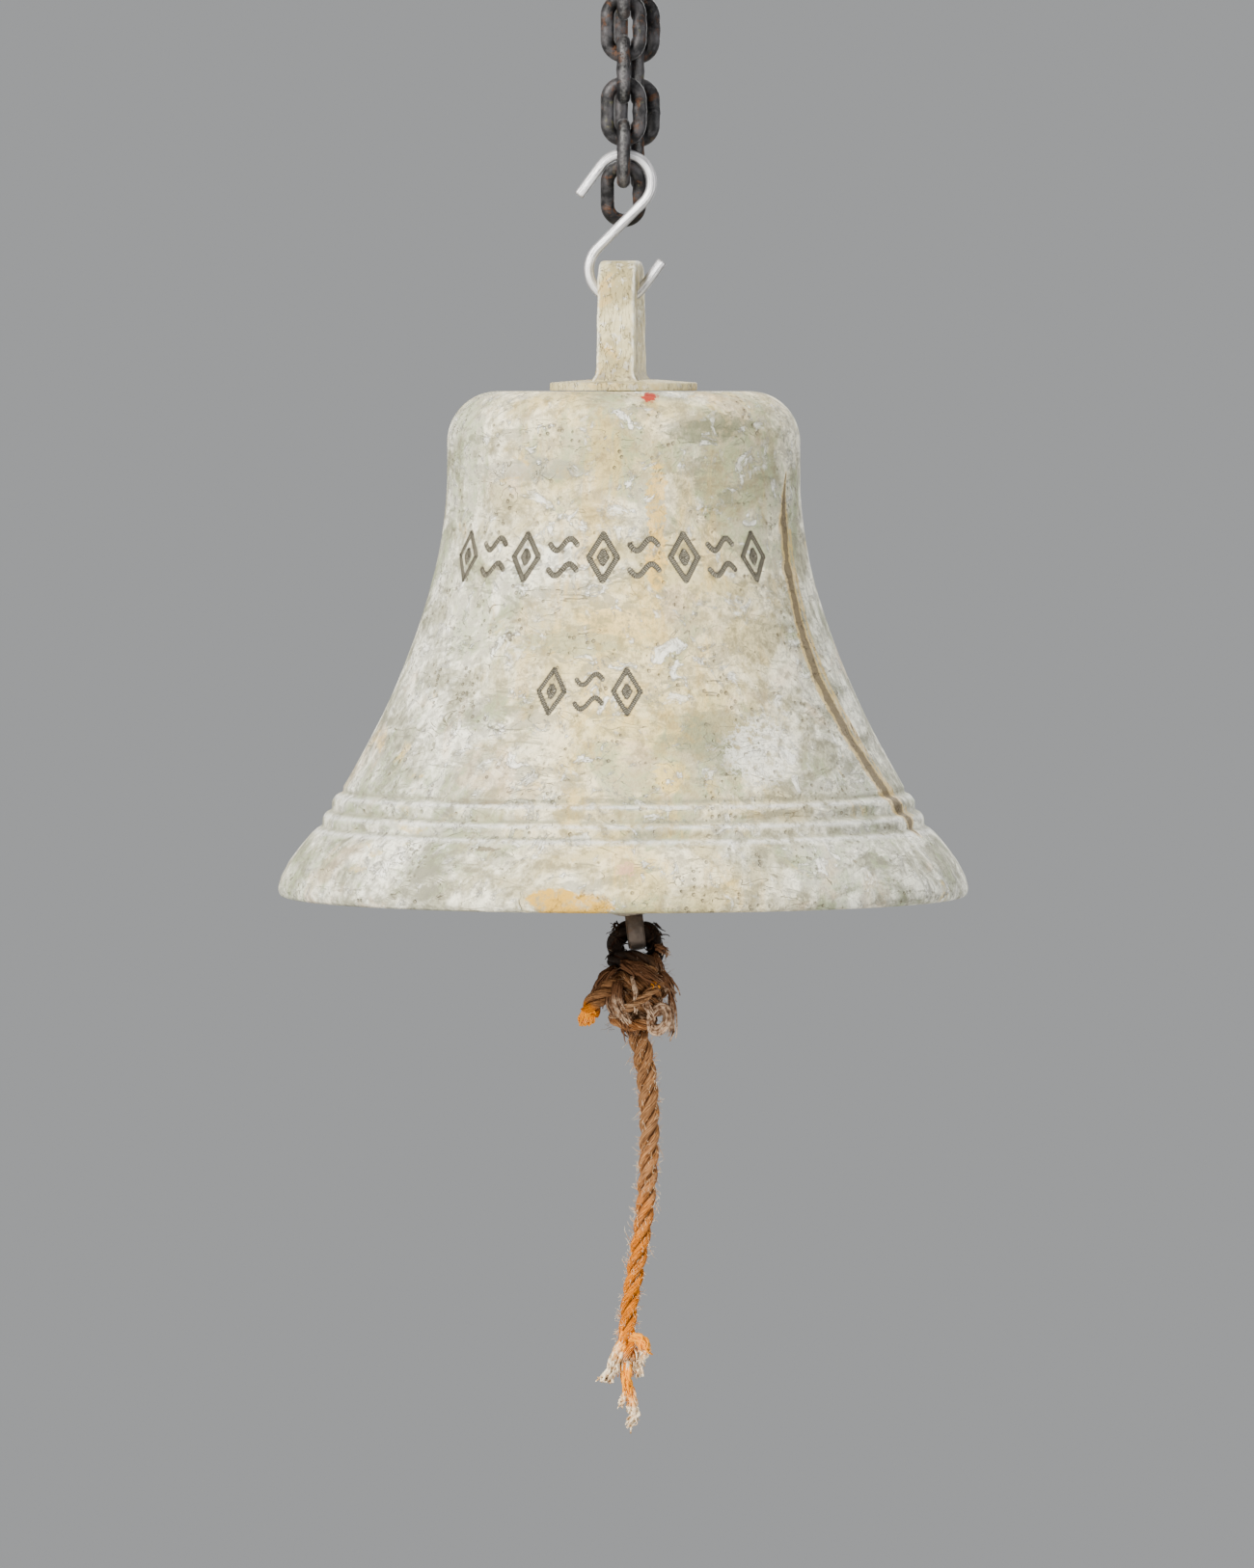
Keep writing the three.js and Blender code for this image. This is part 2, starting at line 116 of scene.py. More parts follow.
def grid(points, loop=False, **marks):
    """A closed skin of quads over rows and columns of points. The last column joins the first. With
    loop the last row joins the first too; otherwise a fan to its middle closes each end row. Leading
    axes are copies of the same grid. Marks are numbers or vectors at the points. The faces are
    turned round if the volume that they enclose comes out negative."""
    rows, columns = points.shape[-3:-1]
    sheets = points.reshape(-1, rows, columns, 3)
    copies = len(sheets)
    index = np.arange(copies * rows * columns).reshape(copies, rows, columns)
    low = index if loop else index[:, :-1]
    high = np.roll(index, -1, axis=1) if loop else index[:, 1:]
    quads = np.stack([low, np.roll(low, -1, axis=2), np.roll(high, -1, axis=2), high], axis=-1)
    vertices = sheets.reshape(-1, 3)
    values = {name: np.asarray(mark, float).reshape(copies, rows, columns, -1)
              for name, mark in marks.items()}
    flat = {name: value.reshape(-1, value.shape[-1]) for name, value in values.items()}
    triangles = np.zeros((0, 3), int)
    for end, turn in () if loop else ((0, 1), (-1, -1)):
        rim = index[:, end]
        hub = np.broadcast_to(len(vertices) + np.arange(copies)[:, None], rim.shape)
        fan = np.stack([np.roll(rim, -1, axis=1), rim, hub][::turn], axis=-1)
        triangles = np.concatenate([triangles, fan.reshape(-1, 3)])
        vertices = np.concatenate([vertices, sheets[:, end].mean(axis=1)])
        flat = {name: np.concatenate([value, values[name][:, end].mean(axis=1)])
                for name, value in flat.items()}
    quads = quads.reshape(-1, 4)
    every = np.concatenate([quads[:, [0, 1, 2]], quads[:, [0, 2, 3]], triangles])
    a, b, c = (vertices[every[:, i]] for i in range(3))
    if (a * np.cross(b, c)).sum() < 0:
        quads, triangles = quads[:, ::-1], triangles[:, ::-1]
    return vertices, quads, triangles, flat


def tube(path, radius, sides, across=(0, 1, 0), closed=False, **marks):
    """A bar along a path: a ring of points about each point of it, square to the path and to one
    fixed direction across it. The mark "wrap" is the place in the bar's own section, then the
    distance along it, so that a pattern can follow the bar."""
    if closed:
        ahead = unit(np.roll(path, -1, axis=-2) - np.roll(path, 1, axis=-2))
    else:
        ahead = unit(np.gradient(path, axis=-2))
    side = unit(np.cross(ahead, across))[..., None, :]
    other = np.cross(side, ahead[..., None, :])
    angle = circle(sides)
    radius = np.broadcast_to(radius, (*path.shape[:-1], sides))
    flat, tall = radius * np.cos(angle), radius * np.sin(angle)
    points = path[..., None, :] + side * flat[..., None] + other * tall[..., None]
    run = np.broadcast_to(run_along(path)[..., None], flat.shape)
    spread = {name: np.broadcast_to(np.asarray(mark, float)[..., None], flat.shape)
              for name, mark in marks.items()}
    spread.setdefault("wrap", stacked(flat, tall, run))
    return grid(points, loop=closed, **spread)


def about_axis(radius, angle, height):
    """Points at a distance from the Z axis, at an angle from the front round to the right."""
    return stacked(radius * np.sin(angle), -radius * np.cos(angle), height)


def turned(profile, sides, loop=False, **marks):
    """A shape turned about Z: each (radius, height) of the profile swept round the full circle."""
    profile = np.array(profile, float)
    points = about_axis(profile[:, :1], circle(sides), profile[:, 1:])
    return grid(points, loop=loop, **marks)


def turned_over_lip(profile, sides, **marks):
    """A shape turned about Z from a profile whose heights are above the bell's lip."""
    return moved(turned(profile, sides, **marks), LIP_LEVEL)


def moved(surface, shift=(0, 0, 0), turn=None):
    """The surface turned by a 3 by 3 matrix, then shifted."""
    vertices, quads, triangles, marks = surface
    if turn is not None:
        vertices = vertices @ np.array(turn).T
    return vertices + np.array(shift, float), quads, triangles, marks


def about_x(degrees):
    """The matrix of a turn about X."""
    c, s = math.cos(math.radians(degrees)), math.sin(math.radians(degrees))
    return [[1, 0, 0], [0, c, -s], [0, s, c]]


def about_y(degrees):
    """The matrix of a turn about Y."""
    c, s = math.cos(math.radians(degrees)), math.sin(math.radians(degrees))
    return [[c, 0, s], [0, 1, 0], [-s, 0, c]]


def about_z(degrees):
    """The matrix of a turn about Z."""
    c, s = math.cos(math.radians(degrees)), math.sin(math.radians(degrees))
    return [[c, -s, 0], [s, c, 0], [0, 0, 1]]


def piece(name, body, surfaces, finish, stands_for=()):
    """One named object of the surfaces, which moves with the body."""
    vertices, faces, marks, start = [], [], {}, 0
    names = {mark for surface in surfaces for mark in surface[3]}
    for points, quads, triangles, given in surfaces:
        vertices.append(points * MM)
        faces += (quads + start).tolist() + (triangles + start).tolist()
        start += len(points)
        for mark in names:
            size = 3 if mark == "wrap" else 1
            marks.setdefault(mark, []).append(given.get(mark, np.zeros((len(points), size))))
    mesh = bpy.data.meshes.new(name)
    mesh.from_pydata(np.concatenate(vertices), [], faces)
    for mark, values in sorted(marks.items()):
        kind, field = ("FLOAT_VECTOR", "vector") if mark == "wrap" else ("FLOAT", "value")
        layer = mesh.attributes.new(mark, kind, "POINT")
        layer.data.foreach_set(field, np.concatenate(values).astype(np.float32).ravel())
    mesh.polygons.foreach_set("use_smooth", np.ones(len(faces), bool))
    mesh.materials.append(finish)
    mesh.update()
    made = bpy.data.objects.new(name, mesh)
    scene.collection.objects.link(made)
    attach(made, body)
    if stands_for:
        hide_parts(*stands_for)
    return made


# ---------------------------------------------------------------- finishes

class Signal:
    """An output of a node. Arithmetic on it adds Math nodes to its material."""

    def __init__(self, finish, socket):
        self.finish, self.socket = finish, socket

    def __add__(self, other):
        return self.finish.math("ADD", self, other)

    def __sub__(self, other):
        return self.finish.math("SUBTRACT", self, other)

    def __rsub__(self, other):
        return self.finish.math("SUBTRACT", other, self)

    def __mul__(self, other):
        return self.finish.math("MULTIPLY", self, other)

    __radd__ = __add__
    __rmul__ = __mul__


class Finish:
    """A material, the colour made for it so far, and the methods that add its nodes."""

    def __init__(self, name):
        self.colour = None
        self.material = bpy.data.materials.new(name)
        self.material.use_nodes = True
        self.material.node_tree.nodes.clear()

    def node(self, kind, settings=None, inputs=None, output=0):
        """Adds a node of a kind, with its settings first, then its sockets' values or links."""
        node = self.material.node_tree.nodes.new("ShaderNode" + kind)
        for key, value in (settings or {}).items():
            setattr(node, key, value)
        for key, value in (inputs or {}).items():
            socket = node.inputs[key]
            if isinstance(value, Signal):
                self.material.node_tree.links.new(value.socket, socket)
            else:
                socket.default_value = (*value, 1.0) if socket.type == "RGBA" else value
        return Signal(self, node.outputs[output]) if node.outputs else None

    def math(self, operation, *values):
        """A Math node."""
        return self.node("Math", {"operation": operation}, dict(enumerate(values)))

    def place(self):
        """The point on the object, in metres."""
        return self.node("TexCoord", output="Object")

    def mark(self, name):
        """A number that the piece's mesh carries."""
        return self.node("Attribute", {"attribute_name": name}, output="Fac")

    def wrap(self, stretch):
        """The point in the bar's own section and along it, in millimetres, each scaled."""
        point = self.node("Attribute", {"attribute_name": "wrap"}, output="Vector")
        return self.node("Mapping", inputs={"Vector": point, "Scale": stretch})

    def scaled(self, point, scale):
        """A point with each of its coordinates scaled."""
        return self.node("Mapping", inputs={"Vector": point, "Scale": scale})

    def noise(self, point, scale, detail=4.0, rough=0.55, bend=0.0):
        """Clouds from 0 to 1."""
        return self.node("TexNoise", inputs={"Vector": point, "Scale": scale, "Detail": detail,
                                             "Roughness": rough, "Distortion": bend})

    def cells(self, point, scale):
        """The distance to the nearest of scattered points, in cells."""
        return self.node("TexVoronoi", inputs={"Vector": point, "Scale": scale})

    def step(self, value, low, high):
        """A soft step from 0 at low to 1 at high; the other way round if low is the higher."""
        return self.node("MapRange", {"interpolation_type": "SMOOTHSTEP"},
                         {"Value": value, "From Min": low, "From Max": high})

    def mix(self, one, other, share, how="MIX"):
        """One colour turned into another by a share."""
        return self.node("Mix", {"data_type": "RGBA", "blend_type": how},
                         {0: share, 6: one, 7: other}, output=2)

    def paint(self, tone, share, how="MIX"):
        """Lays a tone over the colour made so far, by a share."""
        self.colour = self.mix(self.colour, tone, share, how)

    def patch(self, point, centre, size, ragged):
        """A ragged spot: 1 inside an ellipsoid of that size about the centre, both in millimetres."""
        away = self.node("VectorMath", {"operation": "SUBTRACT"},
                         {0: point, 1: [x * MM for x in centre]})
        share = self.node("VectorMath", {"operation": "DIVIDE"}, {0: away, 1: [x * MM for x in size]})
        length = self.node("VectorMath", {"operation": "LENGTH"}, {0: share}, output="Value")
        return self.step(length + (ragged - 0.5) * 3.2, 1.1, 0.85)

    def surface(self, roughness, metallic, height, depth, **rest):
        """Ends the material: one shader of the colour and these, over a bump depth metres deep."""
        bump = self.node("Bump", inputs={"Height": height, "Distance": depth, "Strength": 1.0},
                         output="Normal")
        shader = self.node("BsdfPrincipled", inputs={
            "Base Color": self.colour, "Roughness": roughness, "Metallic": metallic, "Normal": bump,
            **{name.replace("_", " "): value for name, value in rest.items()}})
        self.node("OutputMaterial", inputs={"Surface": shader})
        return self.material


def rope_finish():
    """Old tarred hemp: brown above, bleaching to orange further down, dark where it is wet, and with
    painted shade in the grooves between its strands.
    """
    f = Finish("weathered_rope")
    fibre = f.noise(f.wrap((1.6, 1.6, 0.16)), 1.5, 5.0, 0.65, 0.3)
    yarn = f.noise(f.wrap((1.0, 1.0, 0.07)), 2.2, 2.0, 0.5)
    cloud = f.noise(f.place(), 70.0, 4.0, 0.6)
    tint, wet, pale = f.mark("tint"), f.mark("wet"), f.mark("pale")
    brown = f.mix((0.085, 0.033, 0.013), (0.52, 0.25, 0.10), f.step(fibre, 0.36, 0.62))
    orange = f.mix((0.28, 0.052, 0.0), (0.88, 0.26, 0.0), f.step(fibre, 0.34, 0.60))
    f.colour = f.mix(brown, orange, f.step(tint + (cloud - 0.5) * 0.9, 0.2, 0.8))
    straw = f.mix((0.17, 0.085, 0.042), (0.68, 0.46, 0.27), f.step(fibre, 0.38, 0.62))
    f.paint(straw, f.step(pale + (fibre - 0.5) * 1.2, 0.35, 0.75))
    f.paint((0.030, 0.019, 0.013), f.step(wet + (cloud - 0.5) * 0.5, 0.3, 0.7))
    # Painted shade: darker in the grooves between the strands.
    f.paint((0.07, 0.022, 0.006), f.step(f.mark("groove"), 0.1, 0.9) * 0.85)
    rough = 0.88 - f.step(wet, 0.4, 1.0) * 0.5
    return f.surface(rough, 0.0, fibre * 0.6 + yarn * 0.6, 0.0013, Specular_IOR_Level=0.12)


def fray_finish():
    """Loose hemp fibres: orange or brown at the root, straw at the tip, paler on the orange rope."""
    f = Finish("frayed_hemp")
    grain = f.noise(f.place(), 420.0, 3.0, 0.6)
    tint, pale = f.mark("tint"), f.mark("pale")
    dark = f.mix((0.16, 0.07, 0.03), (0.90, 0.32, 0.01), f.step(tint + (grain - 0.5) * 0.4, 0.2, 0.8))
    tan = f.mix((0.20, 0.105, 0.055), (0.66, 0.46, 0.30), f.step(grain, 0.36, 0.60))
    cream = f.mix((0.50, 0.31, 0.15), (0.95, 0.80, 0.56), f.step(grain, 0.38, 0.60))
    straw = f.mix(tan, cream, f.step(tint, 0.35, 0.6))
    f.colour = f.mix(dark, straw, f.step(pale + (grain - 0.5) * 0.5, 0.25, 0.8))
    f.paint((0.035, 0.022, 0.014), f.step(f.mark("wet"), 0.2, 0.7))
    return f.surface(0.8 + grain * 0.15, 0.0, grain, 0.0003, Specular_IOR_Level=0.12)


def patina_finish():
    """Bronze under an old whitish patina: grey, green, pink and ochre clouds, pits, scratches,
    mineral crusts, olive-grey in the creases of the mouldings and pale on their ridges, dark bottoms
    in the engraving, and painted warm light, yellower down the middle of the front."""
    f = Finish("bronze_patina")
    p = f.place()
    broad = f.noise(p, 13.0, 4.0, 0.55, 0.3)
    cloud = f.noise(p, 38.0, 7.0, 0.66, 0.5)
    fleck = f.noise(p, 190.0, 7.0, 0.72)
    grit = f.noise(p, 700.0, 4.0, 0.65)
    drawn = f.noise(f.scaled(p, (1.0, 1.0, 3.2)), 40.0, 8.0, 0.72, 0.7)
    hung = f.noise(f.scaled(p, (1.0, 1.0, 0.16)), 75.0, 6.0, 0.65, 0.4)
    split = f.node("SeparateXYZ", inputs={0: p})
    # Painted light: yellower in a broad band down the middle of the bell as seen from the front, fading to
    # cooler sides.
    middle = f.step(f.math("ABSOLUTE", split - 0.006), 0.095, 0.012)
    f.colour = f.mix((0.46, 0.45, 0.355), (1.0, 0.985, 0.88), f.step(cloud, 0.42, 0.56))
    f.paint((0.84, 0.66, 0.27), middle * f.step(broad, 0.28, 0.56) * 0.75)
    green = f.step(f.noise(p, 19.0, 7.0, 0.66, 0.6), 0.50, 0.57) * f.step(fleck, 0.36, 0.58)
    f.paint((0.28, 0.33, 0.19), green * 0.72)
    grey = f.step(drawn, 0.53, 0.585) * f.step(fleck, 0.38, 0.54)
    f.paint((0.18, 0.17, 0.12), grey * 0.6)
    pink = f.step(f.noise(p, 23.0, 5.0, 0.6, 0.4), 0.56, 0.64)
    f.paint((0.84, 0.65, 0.47), pink * 0.42)
    # The ochre drips keep to the same painted-light band and fade to the sides with it.
    drip = f.step(hung, 0.53, 0.62) * middle
    f.paint((0.76, 0.53, 0.18), drip * 0.5)
    for centre, size, tone, share in (
            ((14, -78, LIP + 160), (4, 26, 30), (0.86, 0.53, 0.10), 0.7),
            ((-4, -85, LIP + 121), (16, 30, 8), (0.86, 0.62, 0.24), 0.6),
            ((19, -106, LIP + 56), (6, 26, 6), (0.92, 0.68, 0.20), 0.65),
            ((36, -62, LIP + 204), (19, 44, 6.0), (0.17, 0.17, 0.10), 0.74),
            ((-42, -62, LIP + 186), (23, 30, 5), (0.34, 0.325, 0.275), 0.6),
            ((-22, -83, LIP + 112), (22, 26, 6), (0.30, 0.33, 0.22), 0.55),
            ((40, -92, LIP + 72), (19, 40, 12), (0.22, 0.22, 0.14), 0.6)):
        f.paint(tone, f.patch(p, centre, size, drawn) * f.step(fleck, 0.36, 0.52) * share)
    ochre = f.step(f.noise(p, 27.0, 6.0, 0.64, 0.8), 0.61, 0.67) * f.step(fleck, 0.36, 0.54)
    f.paint((0.70, 0.50, 0.17), ochre * 0.6)
    crust = f.step(f.noise(p, 95.0, 8.0, 0.74, 0.8), 0.545, 0.60) * f.step(cloud, 0.40, 0.55)
    f.paint((1.0, 0.99, 0.94), crust * 0.85)
    white = f.patch(p, (58, -92, LIP + 66), (17, 30, 16), fleck)
    f.paint((0.99, 0.98, 0.93), white * f.step(fleck, 0.40, 0.52) * 0.7)
    speckled = f.mix((0.50, 0.485, 0.42), (1.1, 1.085, 0.99), f.step(fleck, 0.37, 0.57))
    f.paint(speckled, 0.85, "MULTIPLY")
    wander = f.noise(f.scaled(p, (1.0, 1.0, 2.6)), 26.0, 3.0, 0.5, 1.2)
    scratch = f.step(f.math("ABSOLUTE", wander - 0.5), 0.0045, 0.0015) * f.step(fleck, 0.48, 0.56)
    pit = f.step(f.cells(p, 300.0), 0.3, 0.16) * f.step(f.noise(p, 60.0), 0.54, 0.6)
    f.paint((0.25, 0.205, 0.13), f.math("MAXIMUM", scratch * 0.75, pit * 0.6))
    stain = f.patch(p, (-21, -148, LIP + 3), (16, 14, 7), cloud) * f.step(fleck, 0.3, 0.5)
    f.paint((0.74, 0.42, 0.04), stain * 0.95)
    bloom = f.patch(p, (1, -141, LIP + 18), (4, 8, 3), grit)
    f.paint((0.74, 0.40, 0.27), bloom * 0.6)
    dirt = f.patch(p, (-61, -106, LIP + 45.2), (15, 22, 1.2), grit)
    nick = f.patch(p, (-59, -122, LIP + 26.0), (6, 10, 0.9), grit)
    blot = f.patch(p, (-49, -79, LIP + 115), (2.0, 8, 2.6), grit)
    marks = f.math("MAXIMUM", dirt * 0.8, f.math("MAXIMUM", nick, blot))
    f.paint((0.20, 0.165, 0.10), marks * 0.85)
    dab = f.patch(p, (11.5, -63, LIP + 217.6), (3.2, 9, 2.4), fleck * 0.5 + grit * 0.5)
    f.paint((0.40, 0.018, 0.007), dab * 0.95)
    # Darker olive-grey in the creases of the beads, paler along their ridges.
    crease = f.mark("crease")
    f.paint((0.31, 0.30, 0.20), crease * f.step(cloud, 0.38, 0.54) * 0.8)
    f.paint((0.90, 0.89, 0.83), f.mark("ridge") * f.step(fleck, 0.36, 0.56) * 0.7)
    streak = f.mark("streak")
    ragged = (fleck - 0.5) * 1.1 + (cloud - 0.5) * 1.6
    gold = f.step(streak + ragged, 0.16, 0.34) * f.step(streak, 0.02, 0.1)
    worn = f.step(streak + ragged, 0.50, 0.66) * f.step(streak, 0.1, 0.2)
    f.paint((0.70, 0.48, 0.15), gold * 0.7)
    f.paint((0.15, 0.115, 0.07), worn * 0.88)
    cut = f.mark("cut")
    tick = f.math("SINE", f.mark("tick") * 7.5)
    rim = f.step(cut * (1 - cut), 0.03, 0.15)
    bottom = f.mix((0.33, 0.30, 0.22), (0.09, 0.076, 0.052), f.step(tick + (grit - 0.5) * 2.0, -0.3, 0.9))
    engraved = f.mix(bottom, (0.10, 0.086, 0.06), rim * 0.8)
    f.paint(engraved, f.step(cut + (fleck - 0.5) * 0.5, 0.30, 0.55))
    inside = f.mark("inside")
    bronze = f.mix((0.20, 0.145, 0.08), (0.37, 0.30, 0.18), f.step(cloud, 0.28, 0.72))
    bronze = f.mix(bronze, (0.27, 0.32, 0.24), f.step(drawn, 0.46, 0.70) * 0.55)
    f.paint(bronze, f.step(inside + (fleck - 0.5) * 0.3, 0.35, 0.65))
    rough = 0.50 + fleck * 0.32 - cut * 0.1
    relief = (fleck * 0.8 + grit * 0.3 + cloud * 1.2 + crust * 0.35 - pit * 0.8 - scratch * 0.5
              + tick * cut * 0.3)
    return f.surface(rough, 0.1, relief, 0.0013, Specular_IOR_Level=0.28)


def crown_finish():
    """Cast bronze gone cream and ochre, with dark cracks, darker at the lug's foot, in its hole, down a
    band on its side, towards the flange's rim and over the parts under the crown, and pale with a painted
    highlight on the lug's rounded rim and with wear in its hole.
    """
    f = Finish("crown_patina")
    p = f.place()
    cloud = f.noise(p, 60.0, 5.0, 0.6, 0.4)
    fleck = f.noise(p, 260.0, 6.0, 0.66)
    tall = f.noise(f.scaled(p, (3.0, 3.0, 0.7)), 90.0, 5.0, 0.6, 0.8)
    f.colour = f.mix((0.42, 0.35, 0.17), (0.78, 0.69, 0.39), f.step(cloud, 0.40, 0.58))
    f.paint((0.66, 0.45, 0.15), f.step(f.noise(p, 45.0, 6.0, 0.62, 0.6), 0.56, 0.66) * 0.6)
    f.paint((0.88, 0.86, 0.74), f.step(fleck, 0.54, 0.62) * 0.6)
    crack = f.step(f.math("ABSOLUTE", tall - 0.5), 0.012, 0.004)
    f.paint((0.13, 0.09, 0.05), crack * f.step(fleck, 0.42, 0.55) * 0.8)
    # Darker where marked: at the lug's foot, in its hole, down a band on its side, towards the flange's
    # rim, and over the stem, washer and nut.
    f.paint((0.17, 0.13, 0.075), f.mark("dirt") * f.step(cloud + fleck, 0.80, 1.1) * 0.85)
    # Pale where marked: a painted highlight on the lug's rounded rim, wear in its hole, and a little over
    # the nut.
    f.paint((0.96, 0.93, 0.78), f.mark("rub") * f.step(fleck, 0.35, 0.55) * 0.8)
    relief = fleck * 0.5 + cloud * 0.8 - crack * 0.5
    return f.surface(0.45 + fleck * 0.35, 0.12, relief, 0.0008, Specular_IOR_Level=0.3)


def iron_finish():
    """Forged iron, brown with thin rust, darker in the hammer marks, worn bright where it bears, limed pale
    where drops hang, and with a painted glint on the lower rim of the tail's round end."""
    f = Finish("forged_iron")
    p = f.place()
    cloud = f.noise(p, 75.0, 5.0, 0.62, 0.3)
    fleck = f.noise(p, 420.0, 5.0, 0.7)
    f.colour = f.mix((0.085, 0.066, 0.053), (0.25, 0.19, 0.145), f.step(cloud, 0.32, 0.66))
    f.paint((0.27, 0.125, 0.05), f.step(f.noise(p, 120.0, 6.0, 0.7), 0.55, 0.68) * 0.7)
    # Bright where the rings bear and round the ball's belt, which is wear, and on the tail's rim, which is
    # a painted glint.
    f.paint((0.52, 0.48, 0.43), f.step(f.mark("rub") + (fleck - 0.5) * 0.5, 0.5, 0.8))
    limed = f.step(f.mark("limed") + (cloud - 0.5) * 2.0, 0.3, 0.8) * f.step(fleck, 0.36, 0.56)
    f.paint((0.60, 0.52, 0.38), limed * 0.75)
    rough = 0.68 + (fleck - 0.5) * 0.35 - f.mark("rub") * 0.4
    return f.surface(rough, 0.45, cloud * 1.2 + fleck * 0.5, 0.0007)


def chain_finish():
    """Dark drawn steel with a painted highlight along each link's outer side, and orange rust and olive
    grime away from it.
    """
    f = Finish("chain_steel")
    p = f.place()
    cloud = f.noise(p, 130.0, 5.0, 0.65, 0.3)
    fleck = f.noise(p, 700.0, 5.0, 0.7)
    rub = f.mark("rub")
    f.colour = f.mix((0.010, 0.0095, 0.010), (0.062, 0.058, 0.060), f.step(cloud, 0.38, 0.64))
    # Painted highlight: paler along each link's outer side.
    f.paint((0.20, 0.195, 0.19), f.step(rub + (fleck - 0.5) * 0.9, 0.80, 1.15) * 0.6)
    rust = f.step(f.noise(p, 150.0, 6.0, 0.7, 0.5), 0.53, 0.66) * (1 - rub * 0.7)
    f.paint((0.20, 0.085, 0.035), rust * 0.6)
    olive = f.step(f.noise(p, 190.0, 4.0, 0.6), 0.6, 0.7) * (1 - rub)
    f.paint((0.17, 0.165, 0.07), olive * 0.6)
    rough = 0.5 + rust * 0.35 + (fleck - 0.5) * 0.3
    return f.surface(rough, 0.45, cloud * 0.8 + fleck * 0.5 + rust * 0.5, 0.0005, Specular_IOR_Level=0.4)


def hook_finish():
    """Zinc-plated wire with marks drawn along it and spots; its darker sides and a dark stripe just off its
    middle are a painted reflection.
    """
    f = Finish("plated_wire")
    section = f.node("SeparateXYZ", inputs={0: f.wrap((1.0, 1.0, 1.0))})
    drawn = f.noise(f.wrap((1.0, 1.0, 0.05)), 1.7, 5.0, 0.65)
    spot = f.noise(f.wrap((1.0, 1.0, 0.5)), 0.45, 5.0, 0.7)
    f.colour = f.mix((0.42, 0.41, 0.43), (1.0, 0.99, 1.0), f.step(drawn, 0.36, 0.50))
    f.paint((0.24, 0.22, 0.22), f.step(spot, 0.60, 0.68) * 0.7)
    uneven = (drawn - 0.5) * 1.4
    # Painted reflection: both sides of the wire and a stripe just off its middle are darkened, as polished
    # wire mirrors a darker room.
    side = f.step(f.math("ABSOLUTE", section) + uneven, 1.3, 2.0)
    stripe = f.step(f.math("ABSOLUTE", section - 0.95) + uneven, 0.75, 0.35)
    f.paint((0.16, 0.15, 0.155), f.math("MAXIMUM", side * 0.75, stripe * 0.45))
    f.paint((0.20, 0.17, 0.14), f.mark("end") * 0.8)
    return f.surface(0.26 + drawn * 0.2, 0.45, drawn + spot * 0.5, 0.0004)


def plate_finish():
    """Hot-rolled plate under thin black paint, rusty at its scratches."""
    f = Finish("painted_plate")
    p = f.place()
    cloud = f.noise(p, 40.0, 5.0, 0.6, 0.3)
    fleck = f.noise(p, 300.0, 5.0, 0.7)
    f.colour = f.mix((0.045, 0.043, 0.043), (0.11, 0.105, 0.10), f.step(cloud, 0.35, 0.65))
    rust = f.step(f.noise(p, 55.0, 7.0, 0.72, 0.4), 0.57, 0.66)
    f.paint((0.29, 0.125, 0.045), rust * f.step(fleck, 0.3, 0.6) * 0.85)
    return f.surface(0.5 + rust * 0.35, 0.3, fleck * 0.5 + cloud + rust * 0.4, 0.0005)


def stage_finish():
    """Plain pale matt floor."""
    f = Finish("pale_floor")
    grain = f.noise(f.place(), 3.0, 3.0)
    f.colour = f.mix((0.60, 0.60, 0.605), (0.64, 0.64, 0.645), grain)
    return f.surface(0.9, 0.0, grain, 0.0005)


# ---------------------------------------------------------------- camera

camera = bpy.data.objects.new("camera", bpy.data.cameras.new("camera"))
camera.data.lens = 232.0
camera.data.sensor_width = 36.0
camera.data.clip_end = 60.0
camera.location = (0.0015, -4.4, -0.201)
camera.rotation_euler = (math.radians(90) + math.atan2(-0.1733, 4.4), 0.0, 0.0)
scene.collection.objects.link(camera)
scene.camera = camera


# ---------------------------------------------------------------- lanyard

ROPE_LAY = 27.0
ROPE_TO_STRAND = 2.155
WORN = 0.28
KNOT_MIDDLE = 6.4
EYE = np.array([5.2116, 0.0, -15.157])
ROUTE = [
    (-3.2, 0, -30.0), (-3.2, 0, -24.5), (-2.9, 0, -19.4), (0.6, 0, -15.3), (5.21, 0, -14.9),
    (9.8, 0, -15.3), (13.3, 0, -19.4), (13.6, 0, -24.5), (12.9, 0, -31.0), (10.6, 0, -39.5),
    (7.6, 0, -48.5), (5.9, 0, -58.7), (7.6, 0, -65.5), (9.6, 0, -76.0), (11.1, 0, -92.8),
    (11.1, 0, -110.9), (9.9, 0, -131.0), (8.0, 0, -147.4), (5.0, 0, -165.0), (2.9, 0, -176.8),
    (1.5, 0, -193.6), (1.6, 0, -203.0),
]
LEAVES_EYE = (13.6, 0, -24.5)


